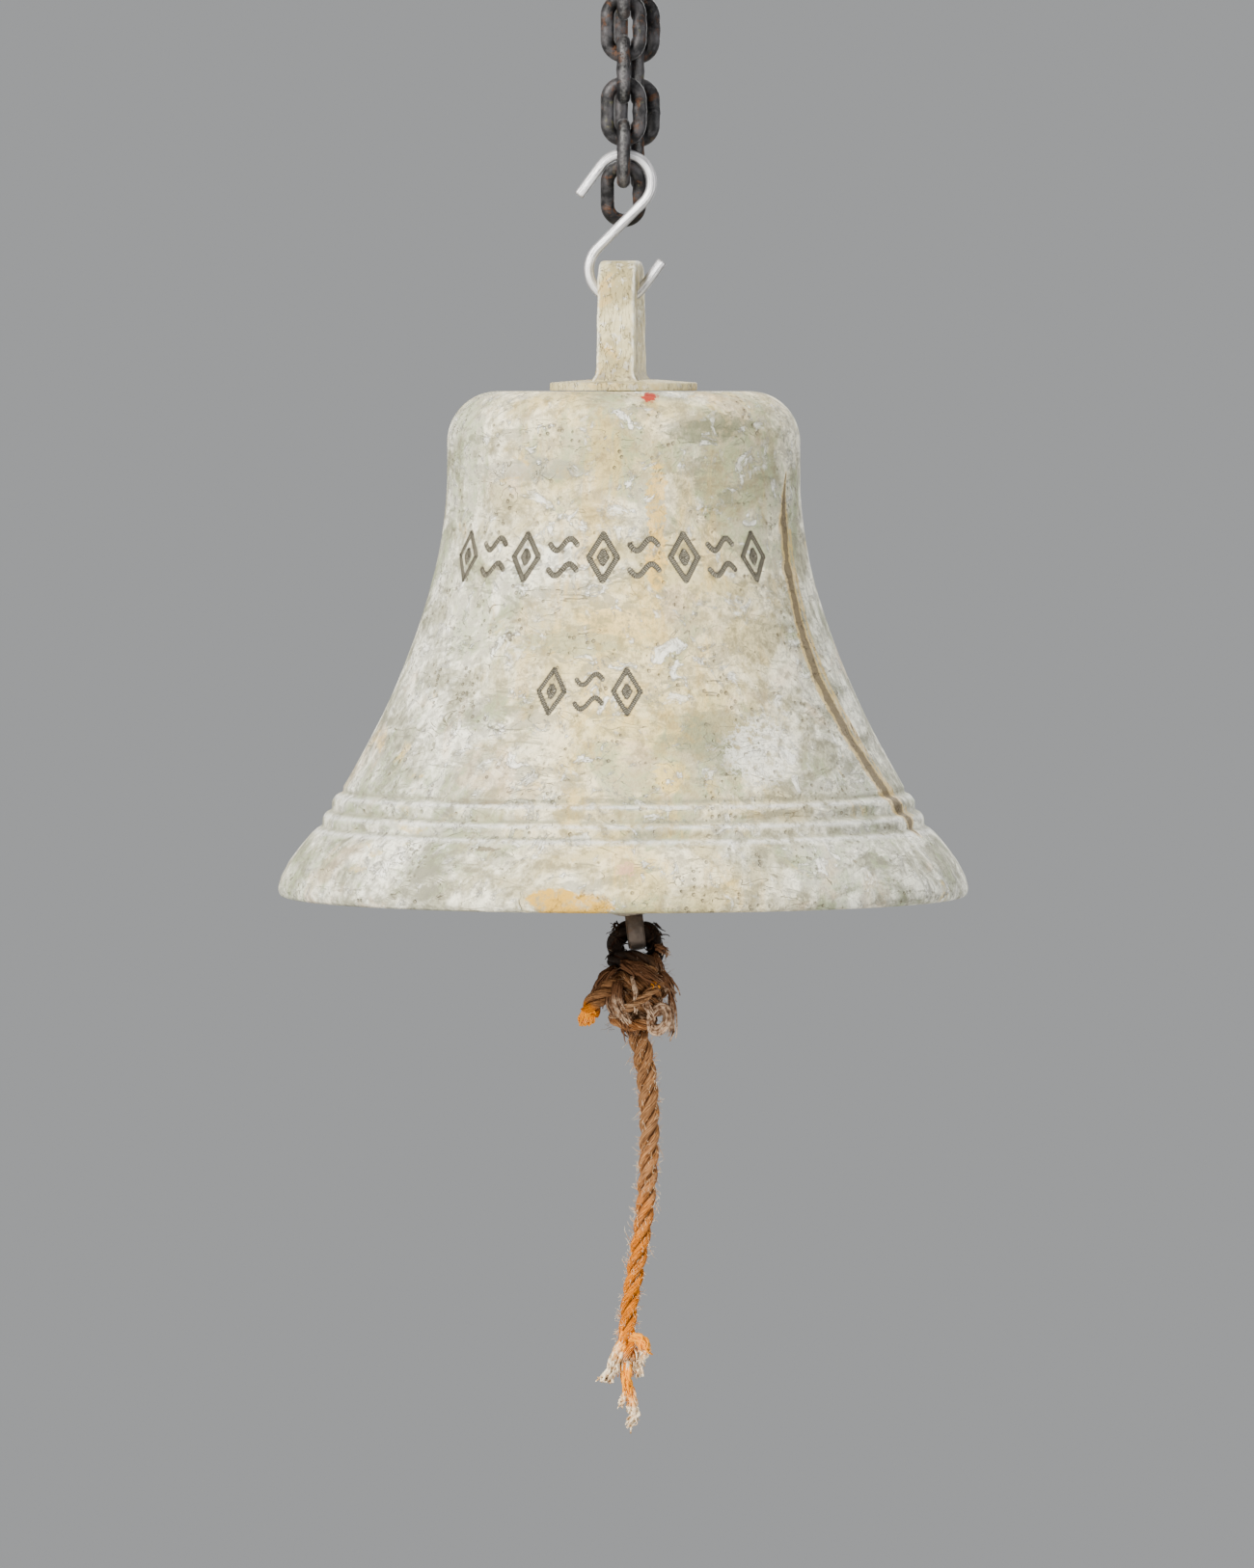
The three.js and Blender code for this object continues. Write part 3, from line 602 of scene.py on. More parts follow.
def laid(path, radius, lay, start=0.0, sides=42, **marks):
    """Three-strand rope along a path. At each point its outline is that of three touching round
    strands: the far side of the nearest strand's circle, seen from the middle, partly worn towards
    a circle. The outline turns once in each lay. A mark is 1 between the strands, where shade is painted."""
    run = start + run_along(path)
    angle = circle(sides)
    phase = angle[None] + TAU * run[:, None] / lay
    nearest = (phase + TAU / 6) % (TAU / 3) - TAU / 6
    radius = np.broadcast_to(radius, run.shape)[:, None]
    strand = radius / ROPE_TO_STRAND
    centre = radius - strand
    inner = np.clip(strand ** 2 - (centre * np.sin(nearest)) ** 2, 0, None)
    outline = centre * np.cos(nearest) + np.sqrt(inner)
    outline = (1 - WORN) * outline + WORN * 0.9 * radius
    ahead = unit(np.gradient(path, axis=0))
    side = unit(np.cross(ahead, marks.pop("across", (0, 1, 0))))[:, None]
    other = np.cross(side, ahead[:, None])
    flat, tall = outline * np.cos(angle), outline * np.sin(angle)
    points = path[:, None] + side * flat[..., None] + other * tall[..., None]
    wrap = stacked(outline * np.cos(phase), outline * np.sin(phase), run[:, None])
    # 1 in the grooves between the strands, where shade is painted.
    groove = np.clip((np.abs(nearest) - 0.72) / 0.33, 0, 1)
    spread = {name: np.broadcast_to(np.broadcast_to(mark, run.shape)[:, None], outline.shape)
              for name, mark in marks.items()}
    return grid(points, wrap=wrap, groove=groove, **spread)


def fibres(roots, tips, sway, thick, rows=9, curl=0.5, tint=(0.5, 0.5), pale=(0.3, 1.0)):
    """Loose fibres, one for each root and tip: each a parabola that leaves the straight line by
    half its sway at the middle, waves to one side by the curl, more towards the tip, and thins."""
    roots, tips = np.broadcast_arrays(np.asarray(roots, float), np.asarray(tips, float))
    t = np.linspace(0, 1, rows)[None, :, None]
    middle = (roots + tips) / 2 + sway
    path = (1 - t) ** 2 * roots[:, None] + 2 * t * (1 - t) * middle[:, None] + t ** 2 * tips[:, None]
    across = unit(np.cross(unit(tips - roots), unit(dice.normal(size=roots.shape))))[:, None]
    phase = dice.uniform(0, TAU, (len(roots), 1, 1))
    waves = dice.uniform(0.8, 1.7, (len(roots), 1, 1))
    path = path + LIP_LEVEL + across * curl * t * np.sin(TAU * waves * t + phase)
    side = np.cross(across, unit(tips - roots)[:, None])
    t = t[..., 0] + np.zeros((len(roots), 1))
    radius = (np.broadcast_to(thick, (len(roots),))[:, None] * (1 - 0.6 * t ** 2))[..., None]
    return tube(path, radius, 3, side, tint=tint[0] + (tint[1] - tint[0]) * t,
                pale=pale[0] + (pale[1] - pale[0]) * t)


def scatter(centre, size, count):
    """Points scattered about a centre, evenly in a box of that half size."""
    return np.array(centre, float) + dice.uniform(-1, 1, (count, 3)) * size


def bunch(root, tip, spread, sway, count, longest, spray, thick, **looks):
    """Loose fibres from about one point towards another, with their tips sprayed about."""
    roots = scatter(root, spread, count)
    tips = roots + (np.array(tip) - root) * dice.uniform(0.7, longest, (count, 1))
    tips = tips + dice.normal(size=(count, 3)) * spray
    sways = np.array(sway) + dice.normal(size=(count, 3)) * 0.6
    return fibres(roots, tips, sways, dice.uniform(*thick, count), **looks)


rope = rope_finish()
fray = fray_finish()

route = smooth(ROUTE, 420) + LIP_LEVEL
leave = int(np.argmin(np.linalg.norm(route - (np.array(LEAVES_EYE) + LIP_LEVEL), axis=1)))
route_run = run_along(route)
depth = route[:, 2] - LIP
thick = np.interp(-depth, [0, 26, 32, 50, 60, 90, 150, 203], [4.3, 4.3, 3.7, 3.7, 4.9, 4.7, 4.2, 3.8])
bleach = np.interp(-depth, [55, 110, 150, 185], [0.10, 0.22, 0.55, 1.05])
soaked = np.interp(-depth, [0, 26, 34], [1.0, 1.0, 0.0])
bleached = np.interp(-depth, [0, 192, 203], [0.0, 0.0, 0.6])
turn_part, fall_part = slice(0, leave + 1), slice(leave, None)
fall = piece("lanyard_rope", "lanyard",
             [laid(route[fall_part], thick[fall_part], ROPE_LAY, route_run[leave],
                   tint=bleach[fall_part], wet=soaked[fall_part], pale=bleached[fall_part])],
             rope, ["lanyard_fall"])
turn = piece("lanyard_turn", "lanyard",
             [laid(route[turn_part], thick[turn_part], ROPE_LAY, 0.0,
                   tint=bleach[turn_part], wet=soaked[turn_part], pale=0.0)],
             rope, ["lanyard_bight"])


def knot_surfaces():
    """The knot: a lumpy core with its fibres aslant, a rope wound three times round it, and three
    strands laid across the winding: up to the right, over its shoulder and along its foot."""
    polar = np.linspace(0.1, math.pi - 0.1, 40)[:, None]
    angle = circle(72)[None]
    lumps = 0.8 * np.sin(3 * angle + 5 * polar) + 0.5 * np.sin(7 * angle - 9 * polar + 1)
    wide = (9.6 + lumps) * np.sin(polar) ** 0.7
    core = stacked(6.6 + wide * np.sin(angle), -0.9 * wide * np.cos(angle),
                   LIP - 42.0 + 14.5 * np.cos(polar))
    slant = core[..., 2] + 4.5 * angle
    skin = grid(core, wrap=stacked(slant, wide, 10 * angle), tint=np.full(wide.shape, 0.15),
                pale=0.3 + 0.25 * np.sin(slant * 0.5), wet=np.clip((core[..., 2] - LIP + 36) / 4, 0, 1))
    t = np.linspace(0, 1, 280)
    turning = math.radians(-120) + t * TAU * 3.0
    swell = 7.9 + 1.6 * np.sin(math.pi * t)
    winding = stacked(KNOT_MIDDLE + swell * np.sin(turning), -0.96 * swell * np.cos(turning),
                      LIP - 28.0 - 22.5 * t - 1.9 * np.sin(turning))
    crossing = smooth([(-3.5, 3, -55), (-4.6, -4, -53), (-1.5, -11.2, -50), (5, -14.0, -46.5),
                       (12, -12.6, -41), (16.8, -6, -37), (17.6, 1, -35), (15, 7, -34)], 90) + LIP_LEVEL
    low = smooth([(1, 6, -50), (-3.8, 0, -52.5), (-2.4, -7.5, -54.5), (3.5, -9.5, -56), (9.5, -7.6, -55.5),
                  (13, -1.5, -52.5), (12, 5, -50)], 80) + LIP_LEVEL
    shoulder = smooth([(-4.4, 3, -29), (-4.0, -4, -27.5), (0.5, -8.4, -26.0), (6, -9.4, -26.4),
                       (11.5, -7.6, -28.5), (14.4, -2, -31), (13.5, 4, -32)], 70) + LIP_LEVEL
    ring = dict(across=(0, 0, 1), lay=24.0)
    return [
        skin,
        laid(winding, 3.6, tint=0.12 + 0.14 * np.sin(9 * t), pale=0.32 + 0.25 * np.sin(23 * t),
             wet=np.clip(1.3 - 7 * t, 0, 1), **ring),
        laid(crossing, 2.3, tint=0.2, pale=np.linspace(0.6, 0.2, 90), wet=0.0, **ring),
        laid(shoulder, 3.0, tint=0.1, pale=0.2, wet=np.linspace(0.75, 0.45, 70), **ring),
        laid(low, 2.8, tint=0.25, pale=0.35, wet=0.2, **ring),
    ]


def stub_surfaces():
    """The short end that stands out of the knot to the left, dark at the knot and golden at its cut."""
    count, steps = 130, 60
    path = smooth([(1, -5, -35), (-4.5, -7.2, -38.5), (-9.5, -8.0, -42.5), (-13.2, -8.4, -47.0),
                   (-15.2, -8.6, -51)], steps) + LIP_LEVEL
    t = np.linspace(0, 1, steps)
    end = scatter((-15.5, -8.8, -49.5), (2.4, 2.4, 0.8), count)
    tips = end + scatter((-0.6, 0, -5.2), (1.4, 1.2, 1.3), count)
    return [
        laid(path, 4.2 + 0.5 * t, 22.0, across=(0, 1, 0), tint=np.clip(3.0 * t - 2.0, 0, 1),
             pale=np.clip(0.3 - t, 0, 1), wet=np.clip(0.5 - 1.0 * t, 0, 1)),
    ], [fibres(end, tips, dice.normal(size=(count, 3)) * 0.4, 0.75, tint=(0.8, 1.0), pale=(0.0, 0.35))]


def soaked_surface():
    """Soaked hairs that droop from both sides of the turn through the eye."""
    count, middle = 240, 5.2
    roots = scatter((middle, 0, -20), (9.4, 3.4, 8.5), count)
    beside = roots[:, 0] - middle
    roots[:, 0] = middle + np.sign(beside) * (7.5 + 0.15 * np.abs(beside))
    droop = dice.normal(size=(count, 3)) * (2.2, 1.6, 1.6) + (0, -1.0, -2.4)
    hairs = fibres(roots, roots + droop, dice.normal(size=(count, 3)) * 0.7,
                   dice.uniform(0.25, 0.5, count), tint=(0.05, 0.05), pale=(0.0, 0.2), curl=0.8)
    hairs[3]["wet"] = np.full((len(hairs[0]), 1), 0.6)
    return hairs


def loose_surfaces():
    """Bunches of pale fibres worked out of the knot, the soaked hairs above it, and the loop of
    fibres at its right."""
    found = []
    for root, tip, spread, count, sway, tint, pale in (
            ((-2.5, -11.2, -38), (1.5, -13.4, -54), (1.8, 0.9, 1.6), 34, (-3.6, -1.0, 0), 0.05, (0.1, 0.9)),
            ((-5.2, -7.0, -36), (-3.0, -11.0, -52), (1.2, 1.0, 1.4), 30, (-3.6, -1.2, 0), 0.05, (0.0, 0.6)),
            ((-4.0, -7, -33), (-12.5, -8, -47), (2.0, 1.4, 2.6), 46, (-3.4, -1.0, 2.4), 0.05, (0.0, 0.4)),
            ((3.6, -12.8, -35), (6.0, -14.4, -49), (0.4, 0.4, 1.0), 7, (0.9, -1.2, 0), 0.1, (0.6, 0.9)),
            ((9.5, -12.0, -42), (12.0, -14.4, -52), (0.8, 0.8, 1.6), 12, (-2.4, -1.2, 1), 0.15, (0.2, 0.8)),
            ((2.0, -12.0, -30), (15.0, -11.0, -37), (1.6, 0.9, 2.0), 46, (0, -2.4, 1.2), 0.1, (0.0, 0.4)),
            ((0, -11.5, -29), (8.0, -12.6, -34), (1.6, 0.9, 1.6), 30, (-0.5, -2.0, 0.8), 0.05, (0.0, 0.3)),
            ((14.2, -6.5, -22), (18.6, -5.0, -25), (0.8, 1.2, 1.0), 12, (0.8, -0.6, 1.0), 0.1, (0.1, 0.6)),
            ((13.6, -6.0, -26), (15.8, -6.4, -37), (1.2, 1.6, 1.6), 34, (1.4, -0.6, 0.0), 0.1, (0.1, 0.7)),
            ((15.0, -8.0, -34), (21.5, -6.0, -43), (1.4, 1.2, 1.6), 36, (2.0, -0.6, 2.0), 0.15, (0.0, 0.6)),
            ((12.6, -10.4, -36.5), (13.8, -11.6, -39.5), (1.2, 0.6, 0.7), 20, (0.8, -0.8, 0), 0.8,
             (0.0, 0.1)),
            ((20.4, -6.4, -43), (18.6, -6.0, -60), (0.9, 0.9, 1.6), 26, (2.4, -0.4, 0), 0.1, (0.2, 0.9)),
            ((0.0, -10.0, -52), (4.2, -7.6, -61), (2.6, 1.0, 1.2), 30, (-1.0, -1.0, 0), 0.2, (0.0, 0.4))):
        found.append(bunch(root, tip, spread, sway, count, 1.1, (0.8, 0.5, 1.0), (0.45, 0.85),
                           tint=(tint, tint), pale=pale, curl=0.8))
    found.append(soaked_surface())
    count = 30
    t = np.linspace(0, 1, 22)[None]
    angle = math.radians(150) - t * math.radians(330) + dice.uniform(-0.35, 0.35, (count, 1))
    wide = dice.uniform(2.4, 5.2, (count, 1))
    tall = wide * dice.uniform(1.05, 1.35, (count, 1))
    loops = stacked(15.4 + wide * np.cos(angle) + dice.normal(size=(count, 1)) * 0.5,
                    -8.2 + 1.6 * np.sin(2 * angle) + dice.normal(size=(count, 1)) * 0.9,
                    LIP - 53.4 + tall * np.sin(angle) + 0.3 * wide * np.cos(angle))
    found.append(tube(loops, dice.uniform(0.45, 0.75, (count, 1, 1)), 4, tint=np.full((count, 22), 0.1),
                      pale=0.45 + 0.35 * np.sin(3 * t) + dice.uniform(-0.2, 0.2, (count, 1))))
    return found


def end_surfaces():
    """The frayed end: a tangle of curled yarns round the rope's end, with lobes out to the right and
    down to the left, an orange strand that goes on below, and a second tuft at its tip."""
    found = []
    for root, tip, spread, sway, count, tint, pale in (
            ((1.2, 0, -191), (1.0, 0, -208), (2.0, 2.0, 1.5), (-1.4, 0, 0), 60, (1.0, 0.9), (0.0, 1.0)),
            ((3, -1, -193), (10, -1, -199), (1.2, 1.6, 1.6), (2.6, -1, 2.4), 40, (1.0, 1.0), (0.0, 0.4)),
            ((9.8, -1, -195), (7.6, -1, -205), (0.8, 1.2, 1.0), (2.0, 0, 0), 20, (1.0, 0.9), (0.2, 0.9)),
            ((0.0, -1, -196), (-5.0, -1, -209), (1.4, 1.6, 1.6), (-2.4, -1, 1), 44, (0.9, 0.6), (0.3, 1.1)),
            ((-3.0, -1, -205), (-9.4, -1, -212.6), (1.0, 1.2, 1.0), (-0.8, 0, -1.8), 24, (0.7, 0.6),
             (0.7, 1.2)),
            ((1.0, 1, -196), (6.8, 1, -211), (1.6, 1.6, 1.6), (2.6, 1, 1), 36, (0.9, 0.6), (0.3, 1.1)),
            ((1.4, 0, -204), (1.8, 0, -219), (1.5, 1.5, 2.0), (-1.0, 0, 0), 44, (1.0, 1.0), (0.0, 0.3)),
            ((1.8, 0, -216), (5.0, 0, -228), (1.2, 1.2, 1.4), (2.0, 0, 0), 28, (1.0, 0.9), (0.2, 0.9)),
            ((5.0, 0, -224), (1.6, 0, -233.0), (0.9, 0.9, 1.0), (2.6, 0, 0), 20, (0.8, 0.7), (0.7, 1.1)),
            ((1.0, 0, -217), (-1.8, 0, -224), (0.9, 0.9, 0.9), (-0.8, 0, 0), 12, (0.9, 0.8), (0.4, 0.9))):
        found.append(bunch(root, tip, spread, sway, count, 1.05, (0.8, 0.8, 0.6), (0.6, 1.15),
                           rows=12, curl=1.5, tint=tint, pale=pale))
    return found


def fuzz_surfaces():
    """Single hairs that stand off the rope and the knot."""
    count = 900
    spot = dice.integers(leave + 40, len(route), count)
    angle = dice.uniform(0, TAU, count)
    away = stacked(np.cos(angle), np.sin(angle), dice.normal(size=count) * 0.7)
    roots = route[spot] - LIP_LEVEL + away * thick[spot][:, None] * 0.85
    tips = roots + away * dice.uniform(0.8, 3.2, (count, 1))
    tips = tips + dice.normal(size=(count, 3)) * (0.4, 0.4, 1.6)
    rope_hairs = fibres(roots, tips, dice.normal(size=(count, 3)) * 0.5, 0.11, 6, 0.5,
                        (0.5, 0.7), (0.2, 0.9))
    count = 260
    around = dice.uniform(0, TAU, count)
    radial = about_axis(1.0, around, dice.normal(size=count) * 0.4)
    base = np.array([KNOT_MIDDLE, 0, 0]) + radial * 11.6 + dice.uniform(-57, -27, (count, 1)) * (0, 0, 1)
    knot_tips = base + radial * dice.uniform(1.0, 4.2, (count, 1)) + dice.normal(size=(count, 3)) * 0.9
    knot_hairs = fibres(base, knot_tips, dice.normal(size=(count, 3)) * 0.6, 0.1, 6, 0.6,
                        (0.2, 0.2), (0.3, 1.0))
    return [rope_hairs, knot_hairs]


knot = piece("lanyard_knot_turns", "lanyard", knot_surfaces(), rope, ["lanyard_knot"])
stub_rope, stub_hairs = stub_surfaces()
stub = piece("lanyard_short_end", "lanyard", stub_rope, rope)
loose = piece("lanyard_loose_fibres", "lanyard", loose_surfaces() + stub_hairs, fray)
end = piece("lanyard_frayed_yarns", "lanyard", end_surfaces(), fray, ["lanyard_end"])
fuzz = piece("lanyard_fuzz", "lanyard", fuzz_surfaces(), fray)
cord_line = route[fall_part]
cord_line[0] * MM
cord_line[np.linspace(0, len(cord_line) - 1, 38).astype(int)] * MM


# ---------------------------------------------------------------- chain, plate and hook

LINK_WIRE, LINK_BEND, LINK_STRAIGHT = 3.0, 7.0, 10.5
LINK_PITCH = 18.2
CHAIN_TOP = -14.85
SLACK = (6.0, 18.5)
chain_steel = chain_finish()


def link_surface(weld):
    """A chain link in the XZ plane: a round bar along two half circles and two straights, a little
    thicker at the weld half way down one side. A mark is 1 on its outer side, for a painted highlight
    there."""
    half = np.linspace(0, math.pi, 19)
    level = np.linspace(-0.5, 0.5, 9)[1:-1] * LINK_STRAIGHT
    top = stacked(LINK_BEND * np.cos(half), LINK_BEND * np.sin(half) + LINK_STRAIGHT / 2)
    right = stacked(LINK_BEND, level)
    outline = np.concatenate([right, top, -right, -top])
    path = stacked(outline[:, 0], 0.0, outline[:, 1])
    radius = LINK_WIRE + weld * np.exp(-((path[:, 2] / 1.5) ** 2)) * (path[:, 0] > 6)
    sides = 14
    out = -np.cos(circle(sides))
    points = tube(path, radius[:, None], sides, closed=True)
    # 1 on the outer side of the bar, where a highlight is painted.
    rub = np.broadcast_to(np.clip(out, 0, 1), (len(path), sides)).reshape(-1, 1)
    points[3]["rub"] = rub
    return points


def hang_link(name, body, at, top, turn):
    """A link turned by a matrix about the middle of its upper bar, and hung with that at a height."""
    drop = LINK_STRAIGHT / 2 + LINK_BEND
    hung = moved(moved(link_surface(0.32), (0, 0, -drop)), (*at, top), turn)
    piece(name + "_forged", body, [hung], chain_steel, [name])


for strand_name, at in (("a", (0.0, 0.0)), ("b", SLACK)):
    for number in range(5):
        hang_link(f"chain_{strand_name}_link_{number + 1}", f"link_{strand_name}{number + 1}", at,
                  CHAIN_TOP - number * LINK_PITCH, about_z(90 if number % 2 == 0 else 0))
hang_link("chain_a_link_6", "link_a6", (0.0, 0.0), CHAIN_TOP - 5 * LINK_PITCH, about_x(20))


HOOK_WIRE = 2.25
HOOK_TOP, HOOK_LOW = (0.0, -112.5), (-2.0, -150.3)
HOOK_BENDS = (12.2, 13.05)
HOOK_ENDS = (16.2, 14.0)
HOOK_TIP = math.radians(53.4)


def hook_path():
    """The S-hook's line: a straight end, the upper bend, the slanting tangent from the inside of one
    bend to the inside of the other, the lower bend and its straight end."""
    top, low = np.array(HOOK_TOP), np.array(HOOK_LOW)
    top_bend, low_bend = HOOK_BENDS
    tip = HOOK_TIP
    apart = low - top
    slant = math.atan2(apart[1], apart[0]) - math.asin((top_bend + low_bend) / np.linalg.norm(apart))
    upper = np.linspace(tip + TAU / 4, slant + TAU / 4, 56)
    lower = np.linspace(slant - TAU / 4 + TAU, tip - TAU / 4 + TAU, 56)
    bends = [centre + bend * stacked(np.cos(angle), np.sin(angle))
             for centre, bend, angle in ((top, top_bend, upper), (low, low_bend, lower))]
    ahead = np.array([math.cos(tip), math.sin(tip)])
    far = np.linspace(1, 0, 20)[:-1, None]
    between = np.linspace(0, 1, 12)[1:-1, None]
    line = np.concatenate([
        bends[0][0] - far * HOOK_ENDS[0] * ahead, bends[0],
        bends[0][-1] * (1 - between) + bends[1][0] * between, bends[1],
        bends[1][-1] + far[::-1] * HOOK_ENDS[1] * ahead])
    return stacked(line[:, 0], 0.0, line[:, 1])


def hook_surface():
    """The wire of the hook: a little uneven along its length and rounded slightly at its ends."""
    path = hook_path()
    run = run_along(path)
    from_end = np.minimum(run, run[-1] - run)
    radius = HOOK_WIRE * (1 - 0.10 * np.exp(-from_end / 0.35))
    radius = radius * (1 + 0.012 * np.sin(run * 0.9))
    return tube(path, radius[:, None], 22, end=(from_end < 0.02) * 1.0)


piece("s_hook_wire", "hook", [hook_surface()], hook_finish(), ["s_hook"])

PLATE_HALF = (42.0, 32.0)
PLATE_MIDDLE = (3.0, 9.25)
PLATE_HOLE = (34.0, 24.0)
PLATE_THICK = 5.0
STAPLE_WIRE = 3.5


def toward_corners(centre, outer):
    """The rising directions from a centre to the four corners of the rectangle between the origin
    and a point."""
    corners = np.array([(x, y) for x in (0, outer[0]) for y in (0, outer[1])]) - centre
    return np.sort(np.arctan2(corners[:, 1], corners[:, 0]) % TAU)


def plate_quarter(sx, sy):
    """A quarter of the plate round its screw hole: the hole's edge at each angle is joined to the
    rectangle's edge at the same angle, turned a little so that each row has its four corners. Rows
    run across the upper face, down the rounded rim, across the lower face and up the countersunk
    hole. Only the outer edges are rounded."""
    centre = np.array([sx * PLATE_HOLE[0], sy * PLATE_HOLE[1]])
    base = circle(96)
    corners = toward_corners(centre, np.array([sx, sy]) * PLATE_HALF)
    base[np.round(corners / TAU * 96).astype(int) % 96] = corners
    rows = []
    for inset, height in ((1.6, 0.0), (0.45, -0.12), (0.12, -0.45), (0, -1.2), (0, -3.8), (0.12, -4.55),
                          (0.45, -4.88), (1.6, -PLATE_THICK)):
        outer = np.array([sx * (PLATE_HALF[0] - inset), sy * (PLATE_HALF[1] - inset)])
        angle = base + np.interp(base, corners, toward_corners(centre, outer) - corners, period=TAU)
        way = stacked(np.cos(angle), np.sin(angle))
        high, low = np.maximum(outer, 0), np.minimum(outer, 0)
        room = np.where(way > 0, high - centre, low - centre) / np.where(np.abs(way) < 1e-9, 1e-9, way)
        flat = centre + way * np.abs(room).min(axis=1, keepdims=True)
        rows.append(np.concatenate([flat, np.full((96, 1), height)], axis=1))
    way = stacked(np.cos(base), np.sin(base))
    for radius, height in ((6.7, -PLATE_THICK), (6.4, -4.85), (3.4, -1.9), (3.25, -1.7), (3.25, -0.2),
                           (3.45, 0.0)):
        rows.append(np.concatenate([centre + way * radius, np.full((96, 1), height)], axis=1))
    return grid(np.array(rows), loop=True)


def plate_surface():
    """The four quarters as one skin: their inner walls are left out and their shared points joined."""
    points, quads = np.zeros((0, 3)), np.zeros((0, 4), int)
    for sx in (-1, 1):
        for sy in (-1, 1):
            corners, faces, _, _ = plate_quarter(sx, sy)
            points, quads = np.concatenate([points, corners]), np.concatenate([quads, faces + len(points)])
    inner = (np.abs(points[quads][..., :2]) < 1e-5).all(axis=1).any(axis=1)
    quads = quads[~inner]
    used, quads = np.unique(quads, return_inverse=True)
    points, joined = np.unique(np.round(points[used], 5), axis=0, return_inverse=True)
    quads = joined.ravel()[quads.reshape(-1, 4)]
    return moved((points, quads, np.zeros((0, 3), int), {}), (*PLATE_MIDDLE, 0))


def staple_surface(at):
    """A staple of round bar: down, round a corner, across and up again, spread by its weld at the
    plate."""
    right = [(13.5, 0, -3.0), (13.5, 0, -7.5), (13.5, 0, -12), (13.4, 0, -16.2), (11.7, 0, -19.9),
             (7.6, 0, -21.6), (3, 0, -21.65)]
    path = smooth(right + [(-x, y, z) for x, y, z in right[::-1]], 110)
    below = np.clip(-PLATE_THICK - path[:, 2], 0, None)
    weld = 1.5 * np.exp(-((below / 1.1) ** 2)) * (path[:, 2] > -9)
    return moved(tube(path, (STAPLE_WIRE + weld)[:, None], 18), (*at, 0))


piece("eye_plate_welded", "eye_plate",
      [plate_surface(), staple_surface((0, 0)), staple_surface(SLACK)],
      plate_finish(), ["ceiling_eye_plate"]).data.set_sharp_from_angle(angle=math.radians(50))


# ---------------------------------------------------------------- bell

def waist_radius(height):
    """The waist flares by a power of the distance below its top."""
    return WAIST_RADIUS + 45 * np.clip((WAIST_TOP - height) / 132, 0, None) ** WAIST_FLARE


def waist_wall(height):
    """The wall: even above, thicker towards the sound bow."""
    return WALL + 3.8 * np.clip((90 - height) / 42, 0, None) ** 2


def quarter_bend(radius, crown, bend, steps):
    """A quarter circle from the crown's edge down to the wall."""
    angle = np.linspace(TAU / 4, 0, steps)
    return stacked(radius - bend + bend * np.cos(angle), crown - bend + bend * np.sin(angle))


def shell_profile():
    """Radius and height all round the section of the bell: over the crown, down the waist, the two
    beads, the sound bow and the lip, then up the inside. Also how many rows are outside."""
    waist = np.concatenate([np.arange(195.5, 161, -2.5), np.arange(160.6, 137, -0.62),
                            np.arange(136, 104, -2.6), np.arange(103, 81, -0.62),
                            np.arange(79.5, 47, -2.1)])
    crown = [(radius, CROWN_TOP) for radius in (STEM_HOLE, 22, 38, 50)]
    under_crown = [(radius, INSIDE_TOP) for radius in (40, 20, STEM_HOLE)]
    beads = softened([
        (122.0, 47.4), (122.3, 45.0), (124.9, 44.3), (126.9, 41.6), (126.9, 37.7), (129.6, 36.6),
        (131.0, 34.3), (131.1, 30.7), (133.2, 29.9), (136.6, 26.8), (140.9, 21.6), (145.6, 15.2),
        (149.0, 8.6), (150.3, 3.6), (149.4, 0.5), (147.0, -0.2), (143.2, 0.3), (139.4, 3.4)], 1.1, 4)
    bow = smooth([(139.4, 0, 3.4), (135, 0, 8.4), (129.5, 0, 14.6), (124.5, 0, 21), (119.8, 0, 28.6),
                  (116.3, 0, 35.4), (113.2, 0, 43.6)], 12)[1:, [0, 2]]
    up = np.arange(48, 196, 6.2)
    outside = np.concatenate([crown, quarter_bend(WAIST_RADIUS, CROWN_TOP, CROWN_BEND, 14),
                              stacked(waist_radius(waist), waist), beads])
    inside = np.concatenate([bow, stacked(waist_radius(up) - waist_wall(up), up),
                             quarter_bend(WAIST_RADIUS - WALL, INSIDE_TOP, INSIDE_BEND, 8)[::-1],
                             under_crown])
    return np.concatenate([outside, inside]), len(outside) - 6


def lozenge(middle, wide, tall):
    """Four straight strokes round a lozenge."""
    x, y = middle
    corners = np.array([(x, y + tall / 2), (x + wide / 2, y), (x, y - tall / 2), (x - wide / 2, y)])
    return np.stack([corners, np.roll(corners, -1, axis=0)], axis=1)


def wave(middle, wide, tall, rise):
    """Short strokes along one whole wave."""
    across = np.linspace(-0.5, 0.5, 11)
    points = stacked(middle[0] + wide * across, middle[1] + rise + 0.5 * tall * np.sin(TAU * across))
    return np.stack([points[:-1], points[1:]], axis=1)


def band_of_figures(left, right, level, wide, tall, count):
    """A row of figures: lozenges with a small solid one inside, and pairs of waves between them."""
    strokes = []
    for number, x in enumerate(np.linspace(left + wide / 2, right - wide / 2, count)):
        if number % 2:
            strokes += [wave((x, level), wide, tall * 0.26, rise * tall) for rise in (-0.27, 0.27)]
        else:
            strokes += [lozenge((x, level), wide, tall), lozenge((x, level), wide * 0.24, tall * 0.26)]
    return np.concatenate(strokes)


